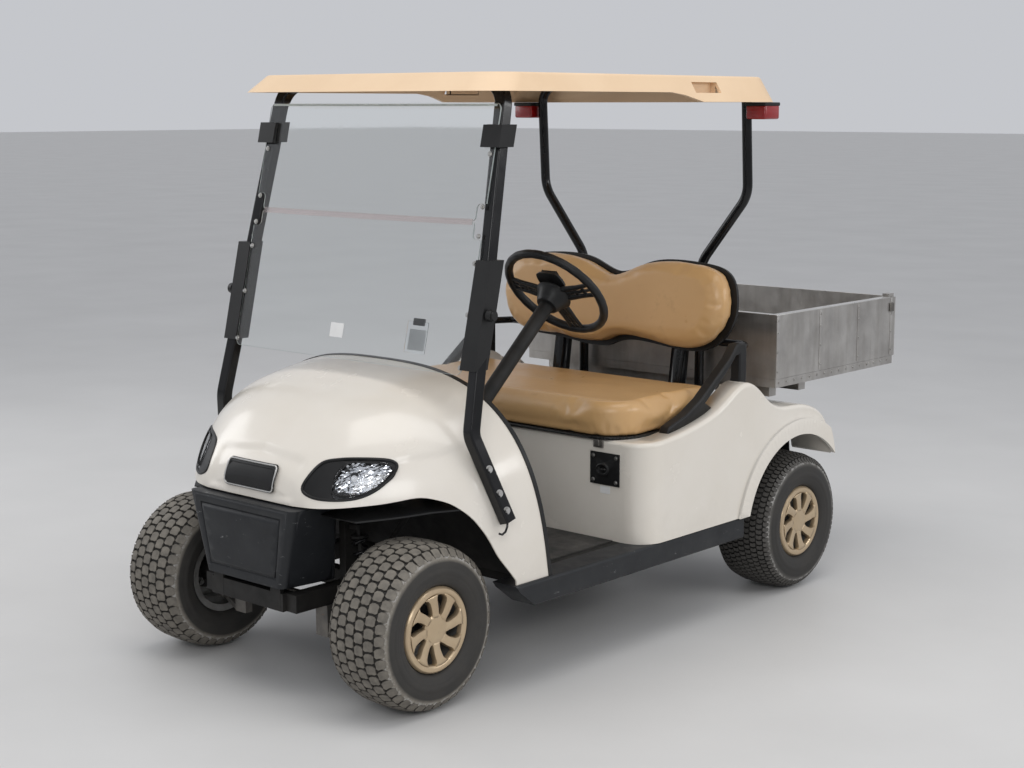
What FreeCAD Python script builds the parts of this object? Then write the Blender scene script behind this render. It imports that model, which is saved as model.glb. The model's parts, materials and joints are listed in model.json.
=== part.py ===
import FreeCAD, Part
import math
import os

# Golf cart with two seats, a canopy, a folding windshield and an aluminium cargo bed.
# Millimetres. X is to the cart's left, Y to its rear, Z up; the ground is Z = 0.
# Stations along the cart are distances behind the front axle, and at() turns them into Y.

V = FreeCAD.Vector
SIDES = (1, -1)

# Driving dimensions
WHEELBASE = 1680.0
FRONT_REACH = 225.0          # front axle to the bumper's face
REAR_REACH = 695.0           # rear axle to the tailgate hinge's rearmost point
FRONT_TRACK_HALF = 433.0
REAR_TRACK_HALF = 491.0
TYRE_R = 229.0
TYRE_W = 216.0
RIM_R = 102.0
RIM_FLANGE_R = 116.0
RIM_HALF = 88.0
COVER_R = 118.0
SILL_TOP = 305.0
SILL_DEPTH = 70.0
SILL_OUT = 590.0
SILL_IN = 500.0
FLOOR_T = 6.0
PANEL_T = 5.0                # moulded body panels
SEAT_GAP = 0.3               # gap between seated pieces
RAIL_IN = 150.0
RAIL_OUT = 190.0
RAIL_H = 50.0
RAIL_TOP = SILL_TOP - FLOOR_T
KICK_START = 1345.0
KICK_END = 1450.0
KICK_RISE = 95.0
FRAME_REAR = 1868.0
KINGPIN_X = 345.0
KINGPIN_R = 8.0
SPINDLE_R = 15.0
RUN_CLEAR = 0.06             # radial clearance of the turning fits
HOOD_FLOOR = 300.0
COWL_REAR_LOW = (392.0, 332.0)    # station, height of the cowl's rear edge at the sill
COWL_REAR_SLOPE = 0.158
STRUT_W = 36.0
STRUT_RISE = 20.6            # the leaning square section's half height at the top bar
STRUT_FOOT = (588.0, 215.0, 495.0)
STRUT_BEND = (515.0, 150.0, 730.0)
STRUT_TOP = (452.0, 352.0, 1610.0)
HOOP_R = 16.0
HOOP_FOOT_X = 250.0
HOOP_SHOULDER_X = 431.0
HOOP_ST = 1562.0
HOOP_LOW = 1080.0
HOOP_HIGH = 1310.0
ROOF_HALF = 545.0
ROOF_FRONT = 190.0
ROOF_REAR = 1600.0
ROOF_EDGE = 1609.0           # underside of the deeper rear skirt
ROOF_FRONT_EDGE = 1637.0     # underside of the shallow front skirt
ROOF_TOP = 1688.0
ROOF_T = 5.0
GLASS_T = 5.0
GLASS_GAP = 2.6              # pane to the hoop's legs; the clips hold it
GLASS_HALF = 468.0
GLASS_LOW = 885.0
GLASS_SPLIT = 1290.0
GLASS_TOP = 1606.0
SEAT_HALF = 512.0
SEAT_FRONT = 795.0
SEAT_REAR = 1310.0
SEAT_LOW = 612.0
PAN_T = 8.0
CUSHION_T = 100.0
BACK_HALF = 474.0
BACK_LOW = 805.0
BACK_H = 290.0
BACK_ST = 1432.0             # rear face of the backrest at its lower edge
BACK_T = 72.0
BACK_SHELL_T = 12.0
BACK_TILT = 8.0
BODY_FRONT = 820.0
BODY_REAR = 1872.0
BODY_HALF = 592.0
ARCH_ST = 1650.0
ARCH_R = 300.0
BED_HALF = 535.0
BED_FRONT = 1592.0
BED_WALL = 12.0
BED_FLOOR = 711.0
BED_TOP = 922.0
BED_SHEET = 4.0
BED_RAIL_H = 28.0
COLUMN_X = 295.0
COLUMN_HUB = (759.0, 1050.0)      # station, height of the steering wheel's centre
COLUMN_FOOT = (211.0, 557.0)
WHEEL_RIM_R = 162.0
WHEEL_GRIP_R = 13.0

# The frame's origin is under the middle of the cart's length.
ORIGIN_ST = (WHEELBASE + REAR_REACH - FRONT_REACH) / 2.0
GATE_AXIS_ST = WHEELBASE + REAR_REACH - 6.0
GATE_AXIS_Z = BED_FLOOR - 8.0
GATE_OUT = GATE_AXIS_ST - 6.0
GATE_IN = GATE_OUT - BED_WALL


def at(station):
    return station - ORIGIN_ST


def point(x, station, z):
    return V(x, at(station), z)


def box(x0, x1, s0, s1, z0, z1):
    return Part.makeBox(x1 - x0, s1 - s0, z1 - z0, point(x0, s0, z0))


def cylinder(start, end, radius):
    a = point(*start)
    b = point(*end)
    return Part.makeCylinder(radius, (b - a).Length, a, b - a)


def ring(start, end, outer, inner):
    return cylinder(start, end, outer).cut(cylinder(start, end, inner))


def side_prism(outline, x0, x1):
    """Extrudes an outline of (station, height) points along X."""
    wire = Part.makePolygon([point(x0, s, z) for s, z in outline + outline[:1]])
    return Part.Face(wire).extrude(V(x1 - x0, 0, 0))


def plan_prism(outline, z0, z1):
    """Extrudes an outline of (x, station) points upwards."""
    wire = Part.makePolygon([point(x, s, z0) for x, s in outline + outline[:1]])
    return Part.Face(wire).extrude(V(0, 0, z1 - z0))


def both(shape):
    """The shape and its mirror image, as separate solids."""
    return [shape, shape.mirror(V(0, 0, 0), V(1, 0, 0))]


def fuse(shapes):
    whole = shapes[0].multiFuse(shapes[1:]) if len(shapes) > 1 else shapes[0]
    return whole.removeSplitter()


def strip(path, thickness, x0, x1):
    """A folded sheet: path is its lower line of (station, height), bent along X."""
    lower = list(path)
    upper = []
    for i, (s, z) in enumerate(path):
        before = path[max(i - 1, 0)]
        after = path[min(i + 1, len(path) - 1)]
        run = math.hypot(after[0] - before[0], after[1] - before[1])
        upper.append(
            (s - (after[1] - before[1]) / run * thickness, z + (after[0] - before[0]) / run * thickness)
        )
    return side_prism(lower + upper[::-1], x0, x1)


def bent_wire(points, radii):
    """Straight runs through the points, joined by tangent arcs of the given radii."""
    edges = []
    start = points[0]
    for i in range(1, len(points) - 1):
        into = (points[i] - points[i - 1]).normalize()
        out = (points[i + 1] - points[i]).normalize()
        turn = into.getAngle(out)
        back = radii[i - 1] * math.tan(turn / 2)
        first = points[i] - into * back
        last = points[i] + out * back
        bisector = (out - into).normalize()
        middle = points[i] + bisector * (radii[i - 1] / math.cos(turn / 2) - radii[i - 1])
        edges.append(Part.LineSegment(start, first).toShape())
        edges.append(Part.Arc(first, middle, last).toShape())
        start = last
    edges.append(Part.LineSegment(start, points[-1]).toShape())
    return Part.Wire(edges)


def round_tube(points, radii, radius):
    path = bent_wire(points, radii)
    profile = Part.Wire(Part.makeCircle(radius, points[0], points[1] - points[0]))
    return path.makePipeShell([profile], True, False)


def rounded_square(width, corner, origin, normal, across):
    """A square wire with round corners, in the plane through origin."""
    normal = V(normal).normalize()
    u = (across - normal * across.dot(normal)).normalize()
    w = normal.cross(u)
    half = width / 2
    flat = half - corner
    diagonal = flat + corner * math.sqrt(0.5)
    edges = []
    for a, b in ((u, w), (w, u * -1), (u * -1, w * -1), (w * -1, u)):
        edges.append(Part.LineSegment(origin + a * half - b * flat, origin + a * half + b * flat).toShape())
        edges.append(
            Part.Arc(
                origin + a * half + b * flat,
                origin + a * diagonal + b * diagonal,
                origin + a * flat + b * half,
            ).toShape()
        )
    return Part.Wire(edges)


def arch_section(station, half, top, power, floor):
    """A closed section across the cart: a superellipse arch standing on a level line."""
    points = []
    steps = 18
    for i in range(steps + 1):
        angle = math.pi * i / steps
        x = half * math.copysign(abs(math.cos(angle)) ** (2 / power), math.cos(angle))
        z = floor + (top - floor) * math.sin(angle) ** (2 / power) if 0 < i < steps else floor
        points.append(point(x, station, z))
    curve = Part.BSplineCurve()
    curve.interpolate(points)
    return Part.Wire([curve.toShape(), Part.LineSegment(points[-1], points[0]).toShape()])


def arch_loft(stations, inset, floor):
    """Lofts arch sections given as (station, half width, crown height, power), moved in by inset."""
    wires = []
    last = len(stations) - 1
    for i, (s, half, top, power) in enumerate(stations):
        shift = inset if i == 0 else (-inset if i == last else 0)
        wires.append(arch_section(s + shift, half - inset, top - inset, power, floor))
    return Part.makeLoft(wires, True, False)


# Body panels

COWL_STATIONS = (
    (-188, 238, 592, 3.0), (-172, 285, 632, 3.0), (-140, 330, 668, 3.1), (-90, 382, 714, 3.2),
    (-30, 440, 760, 3.2), (50, 505, 802, 3.1), (130, 556, 832, 3.0), (210, 576, 854, 2.9),
    (300, 578, 870, 2.9), (400, 578, 880, 2.9), (470, 578, 884, 2.9),
)
# Lower edge of the nose and the front wheel opening: (station, height).
COWL_OPENING = (
    (-260, 540), (-150, 545), (-60, 558), (20, 576), (80, 556), (125, 515), (162, 460),
    (196, 395), (262, 318), (262, 250), (-260, 250),
)
SILL_LINE = SILL_TOP + SEAT_GAP


def cowl_solid(inset):
    return arch_loft(COWL_STATIONS, inset, HOOD_FLOOR)


def cowl_rear_edge(z, shift=0.0):
    return COWL_REAR_LOW[0] - (z - COWL_REAR_LOW[1]) * COWL_REAR_SLOPE + shift


def behind_edge(shift, depth=300.0):
    """The space behind the cowl's raked rear edge."""
    low, high = 200.0, 1000.0
    front_low = cowl_rear_edge(low, shift)
    front_high = cowl_rear_edge(high, shift)
    outline = [(front_low, low), (front_high, high), (front_high + depth, high), (front_low + depth, low)]
    return side_prism(outline, -700, 700)


LAMP_CENTRE = (300.0, -95.0, 622.0)
LAMP_TURN = 38.5             # how far the lamp faces outwards, degrees
LAMP_OUTLINE = (
    (-128, -26), (-84, 30), (-30, 46), (60, 50), (118, 44), (126, 22), (84, -22), (30, -48), (-40, -56),
    (-104, -50)
)
LENS_OUTLINE = ((-44, -34), (-8, 34), (60, 40), (108, 34), (114, 18), (76, -20), (28, -40))


def lamp_prism(outline, grow=0.0):
    """A prism through the nose corner with the lamp's outline, grown by a margin."""
    turn = math.radians(LAMP_TURN)
    across = V(math.cos(turn), math.sin(turn), 0)
    out = V(math.sin(turn), -math.cos(turn), 0)
    centre = point(*LAMP_CENTRE)
    points = []
    for u, v in outline:
        scale = 1 + grow / math.hypot(u, v)
        points.append(centre + across * (u * scale) + V(0, 0, v * scale) - out * 100)
    curve = Part.BSplineCurve()
    curve.interpolate(points, PeriodicFlag=True)
    return Part.Face(Part.Wire(curve.toShape())).extrude(out * 260)


def front_cowl():
    shell = cowl_solid(0).cut(cowl_solid(PANEL_T))
    shell = shell.cut(side_prism(list(COWL_OPENING), -700, 700))
    shell = shell.cut(box(-700, 700, 200, 500, 200, SILL_LINE))
    shell = shell.cut(behind_edge(0))
    return shell.cut(fuse_all(both(lamp_prism(LAMP_OUTLINE, 1.0))))


def fuse_all(shapes):
    return shapes[0].multiFuse(shapes[1:])


def edge_trim():
    """Black trim that caps the cowl's rear edge."""
    band = cowl_solid(-2.0).cut(cowl_solid(PANEL_T + 8))
    band = band.cut(behind_edge(14.0))
    band = band.common(behind_edge(SEAT_GAP, 40.0))
    return band.cut(box(-700, 700, 200, 500, 200, SILL_LINE))


def headlamp_housings():
    pot = cowl_solid(1.5).cut(cowl_solid(60.0)).common(lamp_prism(LAMP_OUTLINE))
    pot = pot.cut(side_prism(list(COWL_OPENING), -700, 700))
    return both(pot.cut(lamp_prism(LENS_OUTLINE).common(cowl_solid(0).cut(cowl_solid(48.0)))))


def headlamp_lenses():
    skin = cowl_solid(2.5).cut(cowl_solid(6.5))
    return both(skin.common(lamp_prism(LENS_OUTLINE, -SEAT_GAP)))


def badge_plate():
    """A blank plate on the nose."""
    outline = plate_outline(103.0, 566.0, 641.0, 14.0)
    slab = Part.Face(outline).extrude(V(0, 140, 0))
    return [slab.common(cowl_solid(-3.0).cut(cowl_solid(-SEAT_GAP)))]


def plate_outline(half, low, high, corner):
    """An upright rounded rectangle ahead of the nose."""
    s = -250.0
    corners = ((-half, low), (half, low), (half, high), (-half, high))
    edges = []
    previous = None
    first = None
    for i, (x, z) in enumerate(corners):
        px, pz = corners[i - 1]
        nx, nz = corners[(i + 1) % 4]
        inward = V(math.copysign(1, px - x) if px != x else 0, 0, math.copysign(1, pz - z) if pz != z else 0)
        outward = V(math.copysign(1, nx - x) if nx != x else 0, 0, math.copysign(1, nz - z) if nz != z else 0)
        tip = point(x, s, z)
        a = tip + inward * corner
        b = tip + outward * corner
        mid = tip + (inward + outward) * (corner * (1 - math.sqrt(0.5)))
        if previous is None:
            first = a
        else:
            edges.append(Part.LineSegment(previous, a).toShape())
        edges.append(Part.Arc(a, mid, b).toShape())
        previous = b
    edges.append(Part.LineSegment(previous, first).toShape())
    return Part.Wire(edges)


BUMPER_BACK = 205.5           # how far ahead of the axle the bumper's inner face stands
BUMPER_LOW = 315.0
BUMPER_TOP = 545.0


def bumper_outline(front_half, rear_half, z, front, rear):
    corners = [(-front_half, front), (front_half, front), (rear_half, rear), (-rear_half, rear)]
    points = [point(x, s, z) for x, s in corners]
    return Part.makePolygon(points + points[:1])


def front_bumper():
    """A moulded bumper with a recessed panel line, hollow behind."""
    front = -FRONT_REACH
    outer = Part.makeLoft(
        [
            bumper_outline(160, 182, BUMPER_LOW, front + 8, -30),
            bumper_outline(222, 200, 538, front, -40)
        ], True, True
    )
    upright = [e for e in outer.Edges if abs(e.tangentAt(e.FirstParameter).z) > 0.5]
    outer = outer.makeFillet(22, upright)
    inner = Part.makeLoft(
        [
            bumper_outline(150, 172, BUMPER_LOW - 20, front + 20, 0),
            bumper_outline(212, 190, 526, front + 12, 0)
        ], True, True
    )
    groove_out = [(-138, 338), (138, 338), (168, 512), (-168, 512)]
    groove_in = [(-133, 343), (133, 343), (162, 507), (-162, 507)]

    def face_prism(outline, depth):
        wire = Part.makePolygon([point(x, front - 20, z) for x, z in outline + outline[:1]])
        return Part.Face(wire).extrude(V(0, 20 + depth, 0))

    groove = face_prism(groove_out, 10).cut(face_prism(groove_in, 10))
    shell = outer.cut(inner)
    groove = groove.common(outer.cut(outer.translated(V(0, 4, 0))))
    return shell.cut(groove)


def wheel_liners():
    """Inner fenders over the front wheels, joined to the toe board."""
    path = [(-110, 508), (40, 530), (150, 536), (204, 520)]
    liner = strip(path, 4.0, RAIL_OUT + 16, 540).common(cowl_solid(PANEL_T + 1))
    return both(liner.cut(cylinder(axis_point(0), GEAR_TOP, 16)))


def floor_pan():
    path = [(212, 530), (322, 345), (352, SILL_TOP - FLOOR_T), (BODY_FRONT + 60, SILL_TOP - FLOOR_T)]
    pan = strip(path, FLOOR_T, -(SILL_IN - SEAT_GAP), SILL_IN - SEAT_GAP)
    pan = pan.common(box(-700, 700, 100, 1000, SILL_TOP - FLOOR_T, 700))
    return pan.cut(cylinder(axis_point(-120), axis_point(60), 26)).cut(cylinder(axis_point(0), GEAR_TOP, 20))


def floor_mat():
    return box(-SILL_IN + 24, SILL_IN - 24, 366, BODY_FRONT - 8, SILL_TOP + SEAT_GAP, SILL_TOP + 4.5)


def sills():
    low = SILL_TOP - SILL_DEPTH
    outline = [(250, SILL_TOP), (262, 288), (331, low), (1343, low), (1343, SILL_TOP)]
    outer = side_prism(outline, SILL_IN, SILL_OUT)
    long_edges = [
        e for e in outer.Edges if abs(e.tangentAt(e.FirstParameter).y) > 0.9 and e.BoundBox.XMin > SILL_OUT - 1
    ]
    return both(outer.makeFillet(9, long_edges))


# Top line of the seat box and rear fender: (station, height).
BODY_TOP_LINE = (
    (BODY_FRONT, 610), (900, 614), (1000, 624), (1100, 642), (1200, 672), (1280, 714), (1350, 736), (1420, 708),
    (1490, 656), (1560, 633), (1650, 628), (1740, 610), (1810, 568), (1850, 505), (BODY_REAR, 425),
)
BODY_CORNER = 85.0           # radius of the seat box's front corners
BODY_EDGE = 14.0             # radius along the top edges
ARCH_BOTTOM = 400.0          # lower end of the fender behind the rear wheel
ARCH_LIP = 52.0              # width of the raised lip round the wheel opening
ARCH_LIP_T = 10.0


def body_line(inset):
    """The top line moved inwards by inset, as a smooth edge and its end points."""
    curve = Part.BSplineCurve()
    curve.interpolate([point(0, s, z) for s, z in BODY_TOP_LINE])
    if inset == 0:
        return curve
    moved = []
    first, last = curve.FirstParameter, curve.LastParameter
    for i in range(25):
        u = first + (last - first) * i / 24
        along = curve.tangent(u)[0]
        moved.append(curve.value(u) + V(0, along.z, -along.y) * inset)
    inner = Part.BSplineCurve()
    inner.interpolate(moved)
    return inner


def body_solid(inset):
    """Outer form of the seat box and rear fenders, moved inwards by inset."""
    curve = body_line(inset)
    start, end = curve.value(curve.FirstParameter), curve.value(curve.LastParameter)
    low = HOOD_FLOOR - 10
    edges = [
        curve.toShape(), Part.makeLine(end, V(0, end.y, low)), Part.makeLine(V(0, end.y, low), V(0, start.y, low)),
        Part.makeLine(V(0, start.y, low), start),
    ]
    half = BODY_HALF - inset
    slab = Part.Face(Part.Wire(edges)).extrude(V(2 * half, 0, 0)).translated(V(-half, 0, 0))
    front = BODY_FRONT + inset
    corner = BODY_CORNER - inset
    plan = Part.Face(front_round(half, front, corner, low - 10)).extrude(V(0, 0, 700))
    return slab.common(plan)


def front_round(half, front, corner, z):
    """A plan outline with rounded front corners and square rear ones."""
    k = 1 - math.sqrt(0.5)
    rear = BODY_REAR + 100
    p = lambda x, s: point(x, s, z)
    edges = [
        Part.LineSegment(p(-half + corner, front), p(half - corner, front)),
        Part.Arc(p(half - corner, front), p(half - corner * k, front + corner * k), p(half, front + corner)),
        Part.LineSegment(p(half, front + corner), p(half, rear)),
        Part.LineSegment(p(half, rear), p(-half, rear)),
        Part.LineSegment(p(-half, rear), p(-half, front + corner)),
        Part.Arc(
            p(-half, front + corner), p(-half + corner * k, front + corner * k), p(-half + corner, front)
        ),
    ]
    return Part.Wire([e.toShape() for e in edges])


def rounded_body():
    """The outer form with its long top edges rounded."""
    solid = body_solid(0)
    low = HOOD_FLOOR
    edges = [
        e for e in solid.Edges if e.BoundBox.ZMin > low + 50 and abs(e.CenterOfMass.x) > BODY_HALF - BODY_CORNER
    ]
    return solid.makeFillet(BODY_EDGE, edges)


def arch_lips():
    """Raised lips round the rear wheel openings."""
    outline = body_line(2.0)
    points = [outline.value(
        outline.FirstParameter + (outline.LastParameter - outline.FirstParameter) * i / 30
    ) for i in range(31)]
    region = [(p.y + ORIGIN_ST, p.z) for p in points]
    region += [(region[-1][0], SILL_LINE), (region[0][0], SILL_LINE)]
    slab = side_prism(region, BODY_HALF - 3, BODY_HALF + ARCH_LIP_T)
    band = ring((500, ARCH_ST, TYRE_R), (700, ARCH_ST, TYRE_R), ARCH_R + ARCH_LIP, ARCH_R)
    return both(slab.common(band))


WELL_HALF = 515.0
DECK_FRONT = 1385.0


def seat_well(grow):
    """The space sunk into the body for the seat, grown by a margin."""
    return box(-WELL_HALF - grow, WELL_HALF + grow, 700, 1422 + grow, SEAT_LOW - grow, 900)


def rear_body():
    """Seat box, sides and rear fenders in one moulding, open below, above the seat box and behind."""
    shell = rounded_body().cut(seat_well(0)).cut(body_solid(PANEL_T).cut(seat_well(PANEL_T)))
    shell = shell.multiFuse(arch_lips())
    shell = shell.cut(box(-700, 700, 700, 2000, 200, SILL_LINE))
    shell = shell.cut(box(-440, 440, 865, 1290, 560, 640))
    shell = shell.cut(box(-430, 430, DECK_FRONT, 2000, 200, 800))
    for side in SIDES:
        wheel = cylinder((side * 360, ARCH_ST, TYRE_R), (side * 700, ARCH_ST, TYRE_R), ARCH_R)
        shell = shell.cut(wheel)
        shell = shell.cut(
            box(min(side * 360, side * 700), max(side * 360, side * 700), ARCH_ST, 2000, 200, ARCH_BOTTOM)
        )
    return keep_large(shell)


def keep_large(shape):
    """Drops the loose slivers that a cut leaves."""
    solids = sorted(shape.Solids, key=lambda s: s.Volume, reverse=True)
    return Part.Compound([s for s in solids if s.Volume > 0.02 * solids[0].Volume])


def rear_deck():
    """Black cover between the rear fenders, under the bed."""
    path = [(DECK_FRONT + 0.5, 606), (1520, 606), (1700, 596), (1800, 556), (1845, 470), (1853, 400)]
    cover = strip(path, 4.0, -429.5, 429.5)
    legs = [cylinder((x, HOOP_ST, 500), (x, HOOP_ST, 700), HOOP_R + 3) for x in (HOOP_FOOT_X, -HOOP_FOOT_X)]
    posts = bed_post_boxes(3.0)
    return cover.cut(fuse_all(legs + posts + [seat_post_clearance()]))


def seat_post_clearance():
    return box(-290, 290, BACK_ST - 34, BACK_ST + 66, 560, 700)


REAR_BAR_HALF = 365.0        # fits between the rear tyres


def rear_bumper():
    """A plate across the frame's rear end."""
    bar = strip([(BODY_REAR + 2, 330), (BODY_REAR + 8, 420)], 4.0, -REAR_BAR_HALF, REAR_BAR_HALF)
    feet = [box(
        *sorted((side * RAIL_IN, side * RAIL_OUT)), FRAME_REAR + SEAT_GAP, BODY_REAR + 6, 348, 390
    ) for side in SIDES]
    return fuse([bar] + feet)


def dash_panel():
    """Inner dash with two open cubbies and two cup holders."""
    outline = [(215, 600), (200, 840), (300, 866), (318, 852), (330, 700), (352, 690), (346, 600)]
    body = side_prism(outline, -700, 700).common(cowl_solid(PANEL_T + SEAT_GAP))
    body = body.cut(behind_edge(-SEAT_GAP))
    cuts = [box(-430, -130, 250, 420, 715, 815), box(20, 140, 250, 420, 715, 815)]
    column = cylinder(axis_point(-150), axis_point(260), COLUMN_R + SEAT_GAP)
    body = body.cut(fuse_all(cuts)).cut(column)
    under = side_prism([(240, 590), (240, 680), (300, 680), (320, 590)], -420, 420)
    return body.cut(under)


# Frame, axles and steering


def rail_outline():
    low = RAIL_TOP - RAIL_H
    return [
        (-192, low), (KICK_START, low), (KICK_END, low + KICK_RISE), (FRAME_REAR, low + KICK_RISE),
        (FRAME_REAR, RAIL_TOP + KICK_RISE), (KICK_END - 20, RAIL_TOP + KICK_RISE), (KICK_START - 20, RAIL_TOP), (-192, RAIL_TOP),
    ]


HOOP_BASE = RAIL_TOP + KICK_RISE


def chassis_frame():
    rails = [side_prism(rail_outline(), *sorted((s * RAIL_IN, s * RAIL_OUT))) for s in SIDES]
    low = RAIL_TOP - RAIL_H
    members = [box(-RAIL_IN, RAIL_IN, s, s + 40, low, RAIL_TOP) for s in (-205, 70, 420, 900, 1290)]
    members += [
        box(-RAIL_IN, RAIL_IN, s, s + 40, low + KICK_RISE, HOOP_BASE) for s in (1542, FRAME_REAR - 40)
    ]
    outriggers = []
    for s in (420, 900, 1290):
        for side in SIDES:
            outriggers.append(box(*sorted((side * RAIL_OUT, side * SILL_IN)), s, s + 40, low, RAIL_TOP))
    hoop_feet = [box(
        *sorted((side * RAIL_OUT, side * (HOOP_FOOT_X + 24))), 1542, 1582, low + KICK_RISE, HOOP_BASE
    ) for side in SIDES]
    towers = [
        box(*sorted((side * (RAIL_OUT - 25), side * RAIL_OUT)), -10, 40, RAIL_TOP, 470) for side in SIDES
    ]
    stubs = [
        box(*sorted((side * 100, side * 140)), -BUMPER_BACK, -BUMPER_BACK + 14, low, 420) for side in SIDES
    ]
    return fuse(rails + members + outriggers + hoop_feet + towers + stubs)


def front_suspension():
    """Each side: a lower wishbone, an upper link and the kingpin between them."""
    low0, low1 = 160.0, 175.0
    up0, up1 = 283.0, 297.0
    x0 = RAIL_OUT
    arms = []
    for s0, s1 in ((-87, -63), (13, 37)):
        leg = [(x0, s0), (KINGPIN_X, -12), (KINGPIN_X, 12), (x0, s1)]
        arms.append(plan_prism(leg, low0, low1))
        arms.append(box(RAIL_IN, x0 + 6, s0, s1, low0, RAIL_TOP - RAIL_H - SEAT_GAP))
    arms.append(cylinder((KINGPIN_X, 0, low0), (KINGPIN_X, 0, low1), 24))
    arms.append(cylinder((KINGPIN_X, 0, up0), (KINGPIN_X, 0, up1), 20))
    link = [(x0 + SEAT_GAP, -44), (KINGPIN_X, -12), (KINGPIN_X, 12), (x0 + SEAT_GAP, -22)]
    arms.append(plan_prism(link, up0, up1))
    arms.append(cylinder((KINGPIN_X, 0, low0 - 8), (KINGPIN_X, 0, up1 + 8), KINGPIN_R))
    return both(fuse(arms))


def coil_shock(lower, upper):
    """A damper in its coil spring, whose turns are rings on one core."""
    a = point(*lower)
    b = point(*upper)
    axis = (b - a).normalize()
    length = (b - a).Length
    parts = [Part.makeCylinder(9, length, a, axis), Part.makeCylinder(24, 5, a + axis * 30, axis)]
    parts.append(Part.makeCylinder(24, 5, a + axis * (length - 30), axis))
    turns = 6
    pitch = (length - 65) / turns
    outline = [V(0, 0, 0), V(15, 0, 0)]
    for i in range(turns):
        outline += [V(22, 0, pitch * (i + 0.3)), V(22, 0, pitch * (i + 0.6)), V(15, 0, pitch * (i + 1))]
    outline += [V(0, 0, pitch * turns), V(0, 0, 0)]
    coil = Part.Face(Part.makePolygon(outline)).revolve(V(0, 0, 0), V(0, 0, 1), 360)
    coil.Placement = FreeCAD.Placement(a + axis * 35, FreeCAD.Rotation(V(0, 0, 1), axis))
    return fuse(parts + [coil])


def front_shocks():
    return both(
        coil_shock((242, 16, 176.2), (217, 14, 462)).fuse(box(RAIL_OUT + SEAT_GAP, 222, 4, 24, 448, 464))
    )


def knuckle(side):
    """Steering knuckle: a bored post on the kingpin, the wheel's spindle and the steering arm."""
    x = side * KINGPIN_X
    z0, z1 = 175 + SEAT_GAP, 283 - SEAT_GAP
    post = cylinder((x, 0, z0), (x, 0, z1), 21)
    track = side * FRONT_TRACK_HALF
    spindle = cylinder((x, 0, TYRE_R), (track + side * 8, 0, TYRE_R), SPINDLE_R)
    collar = cylinder((x, 0, TYRE_R), (side * 384, 0, TYRE_R), 26)
    tip_x = side * TIE_PIN_X
    arm = box(x - 10, x + 10, 0, TIE_PIN_ST, 183, 193)
    eye = cylinder((tip_x, TIE_PIN_ST, 183), (tip_x, TIE_PIN_ST, 193), 13)
    pin = cylinder((tip_x, TIE_PIN_ST, 183), (tip_x, TIE_PIN_ST, 216), TIE_PIN_R)
    whole = fuse([post, spindle, collar, arm, eye, pin])
    return whole.cut(cylinder((x, 0, 100), (x, 0, 400), KINGPIN_R + RUN_CLEAR))


TIE_PIN_X = KINGPIN_X
TIE_PIN_ST = 60.0
TIE_PIN_R = 6.0
TIE_ROD_Z = 204.0


def tie_rod():
    """A rod across the cart that keeps the two knuckles parallel."""
    parts = [cylinder((-TIE_PIN_X + 10, TIE_PIN_ST, TIE_ROD_Z), (TIE_PIN_X - 10, TIE_PIN_ST, TIE_ROD_Z), 8)]
    holes = []
    for side in SIDES:
        parts.append(cylinder(
            (side * TIE_PIN_X, TIE_PIN_ST, TIE_ROD_Z - 9), (side * TIE_PIN_X, TIE_PIN_ST, TIE_ROD_Z + 9),
            13
        ))
        clear = RUN_CLEAR if side == 1 else 1.0
        holes.append(cylinder(
            (side * TIE_PIN_X, TIE_PIN_ST, 150), (side * TIE_PIN_X, TIE_PIN_ST, 260), TIE_PIN_R + clear
        ))
    return fuse(parts).cut(fuse_all(holes))


def rear_axle():
    """Axle tubes, final drive housing, motor and brake backing plates."""
    s = WHEELBASE
    z = TYRE_R
    housing = cylinder((-35, s, z), (85, s, z), 92)
    cover = cylinder((-50, s, z), (100, s, z), 74)
    gear_case = cylinder((20, s + 140, z + 22), (80, s + 140, z + 22), 62)
    web = box(20, 80, s, s + 140, z - 40, z + 60)
    motor = cylinder((80, s + 140, z + 22), (188, s + 140, z + 22), 84)
    motor_cap = cylinder((188, s + 140, z + 22), (198, s + 140, z + 22), 60)
    tube = cylinder((-REAR_TRACK_HALF + 96, s, z), (REAR_TRACK_HALF - 96, s, z), AXLE_TUBE_R)
    stubs = cylinder((-REAR_TRACK_HALF - 8, s, z), (REAR_TRACK_HALF + 8, s, z), SPINDLE_R)
    plates = [cylinder(
        (side * (REAR_TRACK_HALF - 96), s, z), (side * (REAR_TRACK_HALF - 90), s, z), 86
    ) for side in SIDES]
    return fuse([housing, cover, gear_case, web, motor, motor_cap, tube, stubs] + plates)


SPRING_REACH = 240.0
SPRING_EYE_Z = 325.0
LEAF_T = 7.0
LEAF_STEPS = (178.0, 116.0)      # half lengths of the two shorter leaves
AXLE_TUBE_R = 32.0


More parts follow.
